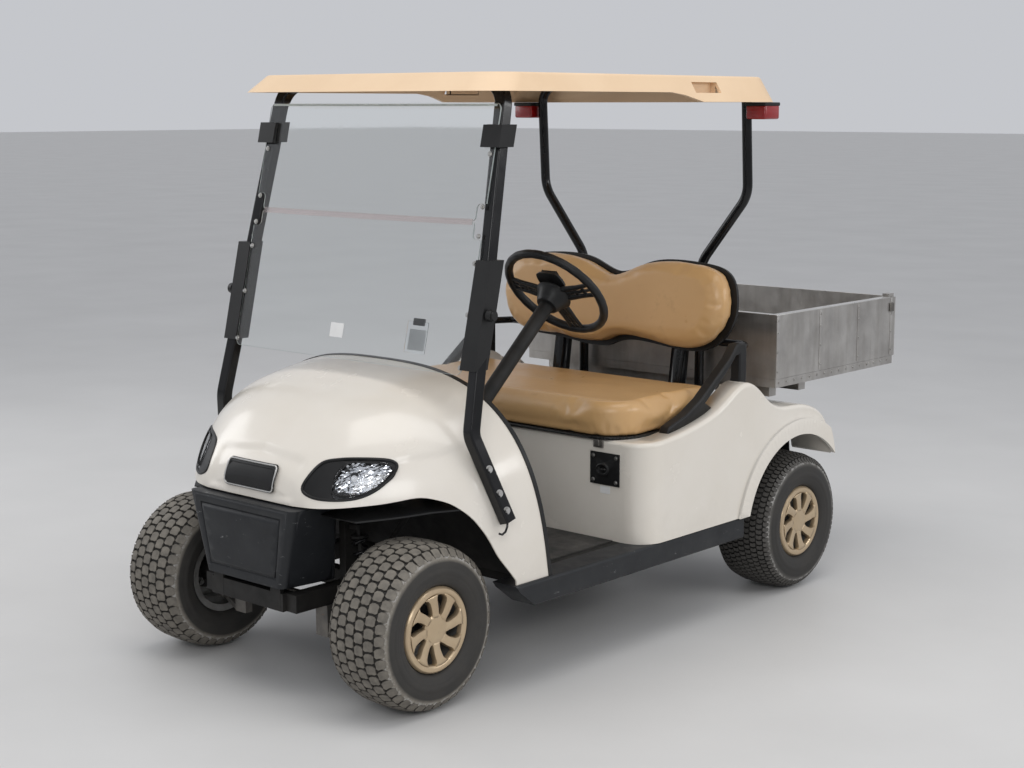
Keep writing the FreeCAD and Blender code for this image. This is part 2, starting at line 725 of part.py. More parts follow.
def rear_springs():
    """Each side: a three-leaf spring on the axle tube, with its eyes and hangers."""
    main_low = TYRE_R + AXLE_TUBE_R + SEAT_GAP + 2 * LEAF_T
    rise = SPRING_EYE_Z - LEAF_T - main_low

    def curve(offset):
        return main_low + rise * (offset / SPRING_REACH) ** 2

    over = [(WHEELBASE + SPRING_REACH * k / 6, curve(SPRING_REACH * k / 6) + LEAF_T) for k in range(-6, 7)]
    half = [(SPRING_REACH, curve(SPRING_REACH))]
    for i, reach in enumerate(LEAF_STEPS):
        half.append((reach, curve(reach) - LEAF_T * i))
        half.append((reach, curve(reach) - LEAF_T * (i + 1)))
    half.append((58.0, main_low - 2 * LEAF_T))
    under = [(WHEELBASE + s, z) for s, z in half] + [(WHEELBASE - s, z) for s, z in reversed(half)]
    parts = [side_prism(over + under, 206, 246)]
    for s in (WHEELBASE - SPRING_REACH, WHEELBASE + SPRING_REACH):
        parts.append(cylinder((206, s, SPRING_EYE_Z), (246, s, SPRING_EYE_Z), 14))
        parts.append(box(RAIL_OUT + SEAT_GAP, 206, s - 15, s + 15, SPRING_EYE_Z - 8, 380))
    parts.append(box(212, 240, WHEELBASE - 24, WHEELBASE + 24, main_low + 2, main_low + LEAF_T + 8))
    return both(fuse(parts))


def battery_pack():
    return box(-380, 380, 945, 1285, RAIL_TOP + SEAT_GAP, 560)


def axis_point(along):
    """A point on the steering column's axis, a distance above its foot."""
    rise = COLUMN_HUB[1] - COLUMN_FOOT[1]
    run = COLUMN_HUB[0] - COLUMN_FOOT[0]
    length = math.hypot(rise, run)
    return (COLUMN_X, COLUMN_FOOT[0] + run / length * along, COLUMN_FOOT[1] + rise / length * along)


COLUMN_LENGTH = math.hypot(COLUMN_HUB[0] - COLUMN_FOOT[0], COLUMN_HUB[1] - COLUMN_FOOT[1])
COLUMN_R = 22.0
GEAR_TOP = (120.0, 128.0, 268.0)
SHAFT_R = 10.0
HUB_BACK = 60.0              # wheel centre to the top of the column tube


def steering_column():
    """Column tube with its shaft, the lower shaft and the steering gear."""
    tube = cylinder(axis_point(-14), axis_point(COLUMN_LENGTH - HUB_BACK), COLUMN_R)
    shaft = cylinder(axis_point(COLUMN_LENGTH - HUB_BACK - 5), axis_point(COLUMN_LENGTH - 22), SHAFT_R)
    lower = cylinder(axis_point(0), GEAR_TOP, 9)
    gear = box(88, 148, 74, 146, 224, RAIL_TOP - RAIL_H - SEAT_GAP)
    gear_neck = cylinder((120, 128, 240), (120, 128, 275), 16)
    return fuse([tube, shaft, lower, gear_neck, gear])


def steering_wheel():
    """Grip ring, three spokes, hub and the card clip above the hub."""
    centre = point(*axis_point(COLUMN_LENGTH))
    axis = (centre - point(*axis_point(0))).normalize()
    across = V(1, 0, 0)
    up = across.cross(axis) * -1
    if up.z < 0:
        up = up * -1
    grip = Part.makeTorus(WHEEL_RIM_R, WHEEL_GRIP_R, centre, axis)
    hub_base = centre - axis * (HUB_BACK - 2)
    hub = Part.makeCone(34, 52, 44, hub_base, axis)
    hub_top = Part.makeCylinder(58, 12, centre - axis * 16, axis)
    parts = [grip, hub, hub_top]
    for angle in (10, 170, 270):
        turn = math.radians(angle)
        out = across * math.cos(turn) + up * math.sin(turn)
        wide = axis.cross(out)
        width = 22.0
        corners = [
            centre + out * 40 - wide * width, centre + out * WHEEL_RIM_R - wide * width * 0.8,
            centre + out * WHEEL_RIM_R + wide * width * 0.8, centre + out * 40 + wide * width,
        ]
        face = Part.Face(Part.makePolygon(corners + corners[:1]))
        parts.append(face.extrude(axis * 7).translated(axis * -8))
    clip_at = centre + up * 20
    clip_corners = [
        clip_at - across * 46, clip_at + across * 46, clip_at + across * 40 + up * 52,
        clip_at - across * 40 + up * 52
    ]
    clip = Part.Face(
        Part.makePolygon(clip_corners + clip_corners[:1])
    ).extrude(axis * 14).translated(axis * -6)
    parts.append(clip)
    whole = fuse(parts)
    bore = Part.makeCylinder(SHAFT_R + RUN_CLEAR, HUB_BACK - 18, hub_base - axis * 2, axis)
    return whole.cut(bore)


def pedals():
    """Brake and accelerator pads on arms from the toe board."""
    parts = []
    for x, width, tall in ((215, 90, 70), (330, 60, 100)):
        pad = side_prism(
            [(388, 372), (394, 368), (394 - tall * 0.45, 368 + tall), (388 - tall * 0.45, 372 + tall)],
            x - width / 2, x + width / 2
        )
        arm = side_prism([(385, 385), (372, 420), (300, 392), (306, 378)], x - 8, x + 8)
        parts.append(fuse([pad, arm]).cut(floor_pan()))
    return [max(p.Solids, key=lambda s: s.CenterOfMass.y) for p in parts]


# Wheels


def revolve_about_x(outline, centre_x, station, z):
    """Revolves an outline of (offset along X, radius) about the wheel's axis."""
    pts = [point(centre_x + x, station, z + r) for x, r in outline]
    face = Part.Face(Part.makePolygon(pts + pts[:1]))
    return face.revolve(point(centre_x, station, z), V(1, 0, 0), 360)


TYRE_SIDES = 48              # flats round a tyre


TYRE_SEAT_GAP = 0.4


def tyre(centre_x, station):
    """A closed tyre of flat facets, out to the tips of its tread."""
    half = TYRE_W / 2
    bead = (RIM_FLANGE_R + TYRE_SEAT_GAP) / math.cos(math.pi / TYRE_SIDES)
    side = [
        (RIM_HALF - 6, bead), (half - 6, RIM_FLANGE_R + 14), (half, 162), (half - 5, 200),
        (half - 20, 218), (half - 52, 227)
    ]
    seat = (RIM_R + TYRE_SEAT_GAP) / math.cos(math.pi / TYRE_SIDES)
    outline = [(-x, r) for x, r in side] + [(0, TYRE_R)] + side[::-1] + [
        (RIM_HALF - 6, seat), (6 - RIM_HALF, seat)
    ]
    rings = []
    for i in range(TYRE_SIDES):
        turn = 2 * math.pi * i / TYRE_SIDES
        rings.append([
            point(centre_x + x, station + r * math.sin(turn), TYRE_R - r * math.cos(turn)) for x,
            r in outline
        ])
    faces = []
    for i, here in enumerate(rings):
        after = rings[(i + 1) % TYRE_SIDES]
        for k in range(len(outline)):
            m = (k + 1) % len(outline)
            corners = [here[k], here[m], after[m], after[k]]
            faces.append(Part.Face(Part.makePolygon(corners + corners[:1])))
    return Part.Solid(Part.Shell(faces))


COVER_SPOKES = 9


def wheel(side, track, station, hub_in, drum):
    """Steel rim with its web and hub, and the spoked cover over it."""
    out = side
    barrel = [
        (-RIM_HALF, RIM_FLANGE_R), (-RIM_HALF + 6, RIM_FLANGE_R), (-RIM_HALF + 6, RIM_R), (RIM_HALF - 6, RIM_R), (RIM_HALF - 6, RIM_FLANGE_R),
        (RIM_HALF, RIM_FLANGE_R), (RIM_HALF, RIM_R - 6), (6, RIM_R - 6), (6, 20), (-4, 20), (-4, RIM_R - 6), (-RIM_HALF, RIM_R - 6),
    ]
    rim = revolve_about_x([(x * out, r) for x, r in barrel], track, station, TYRE_R)
    hub = cylinder((track - out * hub_in, station, TYRE_R), (track + out * 12, station, TYRE_R), 34)
    parts = [rim, hub]
    if drum:
        parts.append(ring((track - out * 84, station, TYRE_R), (track - out * 4, station, TYRE_R), 82, 76))
        parts.append(ring((track - out * 10, station, TYRE_R), (track - out * 4, station, TYRE_R), 82, 30))
    cover = [
        (RIM_HALF, RIM_R - 8), (RIM_HALF, COVER_R), (RIM_HALF + 5, COVER_R), (RIM_HALF + 11, COVER_R - 12), (RIM_HALF + 4, 60),
        (RIM_HALF + 6, 30), (RIM_HALF + 6, 0), (RIM_HALF, 0), (RIM_HALF - 1, 60), (RIM_HALF, RIM_R - 8),
    ]
    cover = revolve_about_x([(x * out, r) for x, r in cover[:-1]], track, station, TYRE_R)
    face_x = track + out * (RIM_HALF - 20)
    windows = []
    for i in range(COVER_SPOKES):
        turn = 360.0 * i / COVER_SPOKES
        corners = [
            point(face_x, station - 5, TYRE_R + 34), point(face_x, station + 6, TYRE_R + 34),
            point(face_x, station + 24, TYRE_R + 94), point(face_x, station - 15, TYRE_R + 94)
        ]
        window = Part.Face(Part.makePolygon(corners + corners[:1])).extrude(V(out * 50, 0, 0))
        window.rotate(point(track, station, TYRE_R), V(1, 0, 0), turn)
        windows.append(window)
    cover = cover.cut(fuse_all(windows))
    whole = fuse(parts + [cover])
    bore = cylinder(
        (track - out * (hub_in + 5), station, TYRE_R), (track + out * 9, station, TYRE_R),
        SPINDLE_R + RUN_CLEAR
    )
    return whole.cut(bore)


# Seat, canopy and windshield


def seat_outline(inset, z):
    """The seat's plan with larger corners at the front."""
    half = SEAT_HALF - inset
    front = SEAT_FRONT + inset
    rear = SEAT_REAR - inset
    rf = 120.0 - inset
    rr = 60.0 - inset
    k = 1 - math.sqrt(0.5)
    p = lambda x, s: point(x, s, z)
    edges = [
        Part.LineSegment(p(-half + rf, front), p(half - rf, front)),
        Part.Arc(p(half - rf, front), p(half - rf * k, front + rf * k), p(half, front + rf)),
        Part.LineSegment(p(half, front + rf), p(half, rear - rr)),
        Part.Arc(p(half, rear - rr), p(half - rr * k, rear - rr * k), p(half - rr, rear)),
        Part.LineSegment(p(half - rr, rear), p(-half + rr, rear)),
        Part.Arc(p(-half + rr, rear), p(-half + rr * k, rear - rr * k), p(-half, rear - rr)),
        Part.LineSegment(p(-half, rear - rr), p(-half, front + rf)),
        Part.Arc(p(-half, front + rf), p(-half + rf * k, front + rf * k), p(-half + rf, front)),
    ]
    return Part.Wire([e.toShape() for e in edges])


def seat_cushion():
    z0 = SEAT_LOW + SEAT_GAP + PAN_T
    body = Part.Face(seat_outline(0, z0)).extrude(V(0, 0, CUSHION_T))
    top = [e for e in body.Edges if e.BoundBox.ZMin > z0 + CUSHION_T - 1]
    return body.makeFillet(34, top)


def seat_pan():
    z0 = SEAT_LOW + SEAT_GAP
    return Part.Face(seat_outline(10, z0)).extrude(V(0, 0, PAN_T - SEAT_GAP))


def back_plane(z):
    """Station of the backrest's rear face at a height."""
    return BACK_ST + (z - BACK_LOW) * math.tan(math.radians(BACK_TILT))


def back_outline(grow):
    """The backrest's outline with its middle dip, in its own upright plane."""
    half = BACK_HALF + grow
    top = BACK_H + grow
    low = -grow
    pts = [
        (0, low), (half * 0.55, low + 2), (half * 0.86, low + 26), (half * 0.985, low + 100), (half, low + 180),
        (half * 0.93, top - 38), (half * 0.72, top - 6), (half * 0.5, top), (half * 0.25, top - 14), (half * 0.1, top - 42), (0, top - 52),
    ]
    pts += [(-x, s) for x, s in reversed(pts[1:-1])]
    curve = Part.BSplineCurve()
    curve.interpolate([V(x, 0, s) for x, s in pts], PeriodicFlag=True)
    return Part.Wire(curve.toShape())


def place_back(shape):
    shape.rotate(V(0, 0, 0), V(1, 0, 0), -BACK_TILT)
    shape.translate(point(0, BACK_ST, BACK_LOW))
    return shape


def seat_back():
    body = Part.Face(back_outline(0)).extrude(V(0, -BACK_T, 0))
    body.translate(V(0, -BACK_SHELL_T - SEAT_GAP, 0))
    front = [e for e in body.Edges if e.BoundBox.YMax < -BACK_SHELL_T - BACK_T + 1]
    return place_back(body.makeChamfer(22, front))


def seat_back_shell():
    return place_back(Part.Face(back_outline(3)).extrude(V(0, -BACK_SHELL_T, 0)))


POST_X = 251.0
POST_W = 44.0


def seat_frame():
    """Posts behind the backrest, crossbars, links to the rear hoop and the side rails."""
    parts = []
    gap = 0.4
    for x in (POST_X, -POST_X):
        z0, z1 = 600.0, 960.0
        outline = [
            (back_plane(z0) + gap, z0), (back_plane(z0) + 40, z0), (back_plane(z1) + 40, z1),
            (back_plane(z1) + gap, z1)
        ]
        parts.append(side_prism(outline, x - POST_W / 2, x + POST_W / 2))
        for z in (640.0, 880.0):
            parts.append(box(x - 14, x + 14, back_plane(z) + 20, HOOP_ST - HOOP_R - SEAT_GAP, z - 16, z + 16))
    parts.append(box(-POST_X, POST_X, back_plane(620) + 3, back_plane(620) + 38, 604, 644))
    parts += [hip_rail(side, HIP_RAIL_R) for side in SIDES]
    return fuse(parts)


HIP_RAIL_R = 12.0
HIP_RAIL_Z = 838.0


def hip_rail(side, radius):
    """The tube from behind the backrest out to the hip restraint."""
    behind = back_plane(HIP_RAIL_Z) + 22
    points = [(POST_X - 10, behind), (502, behind), ((HIP_IN + HIP_OUT) / 2, 1388)]
    return round_tube([point(side * x, s, HIP_RAIL_Z) for x, s in points], [24], radius)


HIP_IN = 518.0
HIP_OUT = 556.0


def hip_restraints():
    """Moulded side restraints: a sloping arm, a rear leg and a cup at the seat's corner, with a grip hole."""
    outer = [
        (965, 600), (985, 640), (1075, 668), (1150, 706), (1300, 815), (1338, 856), (1384, 858), (1392, 830), (1392, 660),
        (1372, 640), (1290, 640), (1180, 622), (1060, 602),
    ]
    hole = [
        (1172, 690), (1210, 670), (1275, 668), (1330, 700), (1352, 745), (1352, 822), (1334, 820),
        (1290, 778)
    ]
    plate = side_prism(outer, HIP_IN, HIP_OUT).cut(side_prism(hole, HIP_IN - 5, HIP_OUT + 5))
    edges = [e for e in plate.Edges if abs(e.tangentAt(e.FirstParameter).x) < 0.01]
    plate = plate.makeFillet(7, edges)
    rail_space = hip_rail(1, HIP_RAIL_R + SEAT_GAP)
    plate = plate.cut(body_solid(-SEAT_GAP)).cut(rail_space)
    return both(max(plate.Solids, key=lambda s: s.Volume))


def front_hoop_points():
    top = ROOF_TOP - ROOF_T - STRUT_RISE - SEAT_GAP
    foot, bend, head = (point(*p) for p in (STRUT_FOOT, STRUT_BEND, STRUT_TOP))
    rise = (head - bend).normalize()
    corner = bend + rise * ((top - bend.z) / rise.z)
    mirror = lambda p: V(-p.x, p.y, p.z)
    return [foot, bend, corner, mirror(corner), mirror(bend), mirror(foot)]


def front_hoop_raw():
    pts = front_hoop_points()
    path = bent_wire(pts, [70, 75, 75, 70])
    profile = rounded_square(STRUT_W, 6, pts[0], pts[1] - pts[0], V(1, 0, 0))
    return path.makePipeShell([profile], True, False)


def front_hoop():
    return front_hoop_raw().cut(cowl_solid(-SEAT_GAP))


def rear_hoop():
    """A round tube from the frame, out past the backrest and over under the roof."""
    top = ROOF_TOP - ROOF_T - HOOP_R - SEAT_GAP
    right = [
        point(HOOP_FOOT_X, HOOP_ST, HOOP_BASE + SEAT_GAP), point(HOOP_FOOT_X, HOOP_ST, HOOP_LOW),
        point(HOOP_SHOULDER_X, HOOP_ST, HOOP_HIGH), point(HOOP_SHOULDER_X, HOOP_ST - 22, top),
    ]
    left = [V(-p.x, p.y, p.z) for p in reversed(right)]
    return round_tube(right + left, [110, 110, 65, 65, 110, 110], HOOP_R)


def round_rect(half, front, rear, corner, z):
    k = 1 - math.sqrt(0.5)
    p = lambda x, s: point(x, s, z)
    c = corner
    h = half
    edges = [
        Part.LineSegment(p(-h + c, front), p(h - c, front)),
        Part.Arc(p(h - c, front), p(h - c * k, front + c * k), p(h, front + c)),
        Part.LineSegment(p(h, front + c), p(h, rear - c)),
        Part.Arc(p(h, rear - c), p(h - c * k, rear - c * k), p(h - c, rear)),
        Part.LineSegment(p(h - c, rear), p(-h + c, rear)),
        Part.Arc(p(-h + c, rear), p(-h + c * k, rear - c * k), p(-h, rear - c)),
        Part.LineSegment(p(-h, rear - c), p(-h, front + c)),
        Part.Arc(p(-h, front + c), p(-h + c * k, front + c * k), p(-h + c, front)),
    ]
    return Part.Wire([e.toShape() for e in edges])


def roof_solid(inset):
    low = round_rect(
        ROOF_HALF - inset, ROOF_FRONT + inset, ROOF_REAR - inset, 110 - inset,
        ROOF_EDGE - (20 if inset else 0)
    )
    high = round_rect(
        ROOF_HALF - 48 - inset, ROOF_FRONT + 95 + inset, ROOF_REAR - 18 - inset, 95 - inset,
        ROOF_TOP - inset
    )
    return Part.makeLoft([low, high], True, True)


def roof():
    """A shallow moulded tray with sloping skirts, deeper at the rear, and a grip hole on each side."""
    outer = roof_solid(0)
    crown = [e for e in outer.Edges if e.BoundBox.ZMin > ROOF_TOP - 1]
    outer = outer.makeFillet(14, crown)
    shell = outer.cut(roof_solid(ROOF_T))
    low = ROOF_EDGE - 30
    front_cut = [
        (0, low), (0, ROOF_FRONT_EDGE), (1010, ROOF_FRONT_EDGE), (1070, ROOF_FRONT_EDGE - 8),
        (1150, ROOF_EDGE), (1150, low)
    ]
    shell = shell.cut(side_prism(front_cut, -700, 700))
    grips = [box(*sorted((side * 480, side * 600)), 1130, 1262, 1636, 1668) for side in SIDES]
    shell = shell.cut(fuse_all(grips))
    return shell


def glass_plane(z):
    """Station of the windshield's rear face: just ahead of the front hoop's legs."""
    lean = (STRUT_TOP[1] - STRUT_BEND[1]) / (STRUT_TOP[2] - STRUT_BEND[2])
    return STRUT_BEND[1] + (z - STRUT_BEND[2]) * lean - STRUT_W / 2 * math.hypot(1, lean) - GLASS_GAP


def pane(z0, z1):
    outline = [(glass_plane(z) - t, z) for z, t in ((z0, 0), (z0, GLASS_T), (z1, GLASS_T), (z1, 0))]
    return side_prism(outline, -GLASS_HALF, GLASS_HALF)


def windshield_lower():
    return pane(GLASS_LOW, GLASS_SPLIT - 1.5)


def windshield_upper():
    return pane(GLASS_SPLIT + 1.5, GLASS_TOP)


def leg_point(z):
    """The hoop leg's centre at a height."""
    share = (z - STRUT_BEND[2]) / (STRUT_TOP[2] - STRUT_BEND[2])
    return [STRUT_BEND[i] + (STRUT_TOP[i] - STRUT_BEND[i]) * share for i in range(3)]


def windshield_clips():
    """Long sleeves that hold the lower pane to the hoop, and the upper pane's blocks."""
    raw = front_hoop_raw()
    panes = [pane(GLASS_LOW, GLASS_SPLIT), pane(GLASS_SPLIT, GLASS_TOP)]
    blocks = []
    for z0, z1, half in ((900, 1190, 27), (1488, 1548, 34)):
        a, b = leg_point(z0), leg_point(z1)
        lean = [(a[1] - half - 4, z0), (a[1] + 22, z0), (b[1] + 22, z1), (b[1] - half - 4, z1)]
        x_mid = (a[0] + b[0]) / 2
        blocks.append(side_prism(lean, x_mid - half, x_mid + half).cut(raw).cut(fuse_all(panes)))
    return [s for block in blocks for s in both(Part.Compound(block.Solids))]


def tail_lamps():
    lamp = box(452, 532, 1500, 1588, 1552, ROOF_EDGE - SEAT_GAP)
    upright = [e for e in lamp.Edges if abs(e.tangentAt(e.FirstParameter).z) > 0.9]
    lamp = lamp.makeFillet(10, upright)
    return both(
        lamp.cut(cylinder((HOOP_SHOULDER_X, HOOP_ST, 1500), (HOOP_SHOULDER_X, HOOP_ST, 1700), HOOP_R + 6))
    )


def charge_port():
    """Receptacle plate on the seat box's front."""
    face = BODY_FRONT
    plate = box(385, 495, face - 4 - SEAT_GAP, face - SEAT_GAP, 474, 572)
    socket = cylinder((440, face - 14, 523), (440, face - 4, 523), 20)
    plate = fuse([plate, socket]).cut(cylinder((440, face - 16, 523), (440, face - 5, 523), 14))
    return plate


# Cargo bed


def bed_post_boxes(grow):
    return [
        box(
            x - 20 - grow, x + 20 + grow, s - grow, s + 40 + grow,
            HOOP_BASE + (SEAT_GAP if grow == 0 else -5), BED_FLOOR - BED_RAIL_H - 40
        )
        for x in (-170.0, 170.0)
        for s in (1640.0, 1820.0)
    ]


def cargo_bed():
    """Floor sheet with a front wall and two side walls."""
    floor = box(-BED_HALF, BED_HALF, BED_FRONT, GATE_IN - SEAT_GAP, BED_FLOOR, BED_FLOOR + BED_SHEET)
    front = box(-BED_HALF, BED_HALF, BED_FRONT, BED_FRONT + BED_WALL, BED_FLOOR, BED_TOP)
    walls = [box(
        *sorted((side * (BED_HALF - BED_WALL), side * BED_HALF)), BED_FRONT, GATE_IN - SEAT_GAP,
        BED_FLOOR, BED_TOP
    ) for side in SIDES]
    return fuse([floor, front] + walls)


def bed_frame():
    """Angle rails round the bed, cross bearers and posts down to the frame, with the tailgate's hinge pin."""
    top = BED_FLOOR - SEAT_GAP
    low = BED_FLOOR - BED_RAIL_H
    rear = GATE_IN - SEAT_GAP
    parts = []
    for side in SIDES:
        parts.append(box(*sorted((side * (BED_HALF - 3), side * BED_HALF)), BED_FRONT, rear, low, top))
        parts.append(box(*sorted((side * (BED_HALF - 30), side * BED_HALF)), BED_FRONT, rear, top - 3, top))
        parts.append(box(*sorted((side * 300, side * 330)), BED_FRONT, rear, low, top))
    parts.append(box(-BED_HALF, BED_HALF, BED_FRONT, BED_FRONT + 3, low, top))
    parts.append(box(-BED_HALF, BED_HALF, rear - 3, rear, low, top))
    parts.append(box(-BED_HALF, BED_HALF, rear - 30, rear, top - 3, top))
    for s in (1640.0, 1820.0):
        parts.append(box(-480, 480, s, s + 40, low - 40, low))
    parts += bed_post_boxes(0)
    for x in GATE_KNUCKLES:
        for offset in (-34, 14):
            parts.append(cylinder(
                (x + offset, GATE_AXIS_ST, GATE_AXIS_Z), (x + offset + 20, GATE_AXIS_ST, GATE_AXIS_Z), 6
            ))
            parts.append(
                box(x + offset, x + offset + 20, rear - 3, GATE_AXIS_ST, GATE_AXIS_Z - 5, GATE_AXIS_Z - 1)
            )
        parts.append(
            cylinder((x - 34, GATE_AXIS_ST, GATE_AXIS_Z), (x + 34, GATE_AXIS_ST, GATE_AXIS_Z), GATE_PIN_R)
        )
    return fuse(parts)


GATE_KNUCKLES = (-400.0, 0.0, 400.0)
GATE_PIN_R = 3.0


def tailgate():
    """Rear panel with its hinge knuckles below and a latch at each top corner."""
    parts = [box(-BED_HALF, BED_HALF, GATE_IN, GATE_OUT, BED_FLOOR, BED_TOP)]
    holes = []
    for x in GATE_KNUCKLES:
        parts.append(cylinder((x - 13, GATE_AXIS_ST, GATE_AXIS_Z), (x + 13, GATE_AXIS_ST, GATE_AXIS_Z), 6))
        parts.append(box(x - 13, x + 13, GATE_OUT, GATE_OUT + 4, GATE_AXIS_Z, BED_FLOOR + 30))
        holes.append(cylinder(
            (x - 20, GATE_AXIS_ST, GATE_AXIS_Z), (x + 20, GATE_AXIS_ST, GATE_AXIS_Z),
            GATE_PIN_R + RUN_CLEAR
        ))
    for side in SIDES:
        parts.append(box(
            *sorted((side * (BED_HALF - 34), side * (BED_HALF - 8))), GATE_IN - 22, GATE_OUT,
            BED_TOP + SEAT_GAP, BED_TOP + 12
        ))
        parts.append(box(
            *sorted((side * (BED_HALF - 34), side * (BED_HALF - 8))), GATE_IN, GATE_OUT, BED_TOP - 1,
            BED_TOP + 12
        ))
    return fuse(parts).cut(fuse_all(holes))


def as_solids(made):
    shapes = made if isinstance(made, (list, tuple)) else [made]
    return [solid for shape in shapes for solid in shape.Solids]


def nodes():
    table = {
        "chassis_frame": chassis_frame(), "floor_pan": floor_pan(), "floor_mat": floor_mat(), "sills": sills(),
        "front_cowl": front_cowl(), "cowl_edge_trim": edge_trim(), "dash_panel": dash_panel(), "front_bumper": front_bumper(),
        "wheel_liners": wheel_liners(), "headlamp_housings": headlamp_housings(), "headlamp_lenses": headlamp_lenses(),
        "badge_plate": badge_plate(), "rear_body": rear_body(), "rear_deck": rear_deck(), "rear_bumper": rear_bumper(),
        "charge_port": charge_port(), "seat_cushion": seat_cushion(), "seat_pan": seat_pan(), "seat_back": seat_back(),
        "seat_back_shell": seat_back_shell(), "seat_frame": seat_frame(), "hip_restraints": hip_restraints(), "roof": roof(),
        "front_hoop": front_hoop(), "rear_hoop": rear_hoop(), "windshield_lower": windshield_lower(),
        "windshield_upper": windshield_upper(), "windshield_clips": windshield_clips(), "tail_lamps": tail_lamps(),
        "steering_column": steering_column(), "steering_wheel": steering_wheel(), "pedals": pedals(),
        "front_suspension": front_suspension(), "front_shocks": front_shocks(), "tie_rod": tie_rod(), "rear_axle": rear_axle(),
        "rear_springs": rear_springs(), "battery_pack": battery_pack(), "cargo_bed": cargo_bed(), "bed_frame": bed_frame(),
        "tailgate": tailgate(),
    }
    for side, name in ((1, "left"), (-1, "right")):
        table["knuckle_" + name] = knuckle(side)
        for end, track, station in (("front", FRONT_TRACK_HALF, 0.0), ("rear", REAR_TRACK_HALF, WHEELBASE)):
            rear = end == "rear"
            table[f"tyre_{end}_{name}"] = tyre(side * track, station)
            table[f"wheel_{end}_{name}"] = wheel(side, side * track, station, 46, rear)
    return table


def main():
    os.makedirs("parts", exist_ok=True)
    for name, made in nodes().items():
        solids = as_solids(made)
        shape = solids[0] if len(solids) == 1 else Part.Compound(solids)
        shape.exportStep(f"parts/{name}.step")
        print(
            name, len(solids), round(sum(s.Volume for s in solids) / 1e6, 3),
            all(s.isValid() for s in solids)
        )


main()
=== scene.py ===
import bmesh
import bpy
import json
import math
import random
from mathutils import Matrix, Vector

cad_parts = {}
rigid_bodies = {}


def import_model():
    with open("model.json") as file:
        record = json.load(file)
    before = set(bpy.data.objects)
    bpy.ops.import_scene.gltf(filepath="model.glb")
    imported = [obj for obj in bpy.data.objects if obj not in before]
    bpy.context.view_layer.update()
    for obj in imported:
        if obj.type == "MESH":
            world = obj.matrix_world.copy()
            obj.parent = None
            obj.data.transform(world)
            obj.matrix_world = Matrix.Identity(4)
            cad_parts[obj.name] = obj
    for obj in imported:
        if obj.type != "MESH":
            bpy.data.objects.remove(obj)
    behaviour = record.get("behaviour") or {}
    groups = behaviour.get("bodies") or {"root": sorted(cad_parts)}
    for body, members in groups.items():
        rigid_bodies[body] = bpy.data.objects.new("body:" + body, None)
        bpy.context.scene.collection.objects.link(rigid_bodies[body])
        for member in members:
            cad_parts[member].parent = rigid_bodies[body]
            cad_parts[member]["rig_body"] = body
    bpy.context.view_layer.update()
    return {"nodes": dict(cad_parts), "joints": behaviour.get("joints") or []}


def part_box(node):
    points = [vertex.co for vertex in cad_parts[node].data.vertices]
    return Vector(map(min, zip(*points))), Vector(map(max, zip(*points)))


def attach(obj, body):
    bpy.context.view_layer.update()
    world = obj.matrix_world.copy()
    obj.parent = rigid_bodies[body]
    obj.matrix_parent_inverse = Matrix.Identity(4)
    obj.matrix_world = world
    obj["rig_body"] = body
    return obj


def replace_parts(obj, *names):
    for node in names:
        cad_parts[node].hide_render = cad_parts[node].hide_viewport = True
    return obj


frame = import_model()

NODES = frame["nodes"]
MID_STATION = 1075.0         # station under the frame's origin, mm behind the front axle
SIDES = ((1, "left"), (-1, "right"))
TAU = 2 * math.pi


def P(x, station, z):
    """A point given in the CAD's millimetres, as metres in the shared frame."""
    return Vector((x / 1000, (station - MID_STATION) / 1000, z / 1000))


def new_object(name, data):
    made = bpy.data.objects.new(name, data)
    bpy.context.scene.collection.objects.link(made)
    return made


# Materials


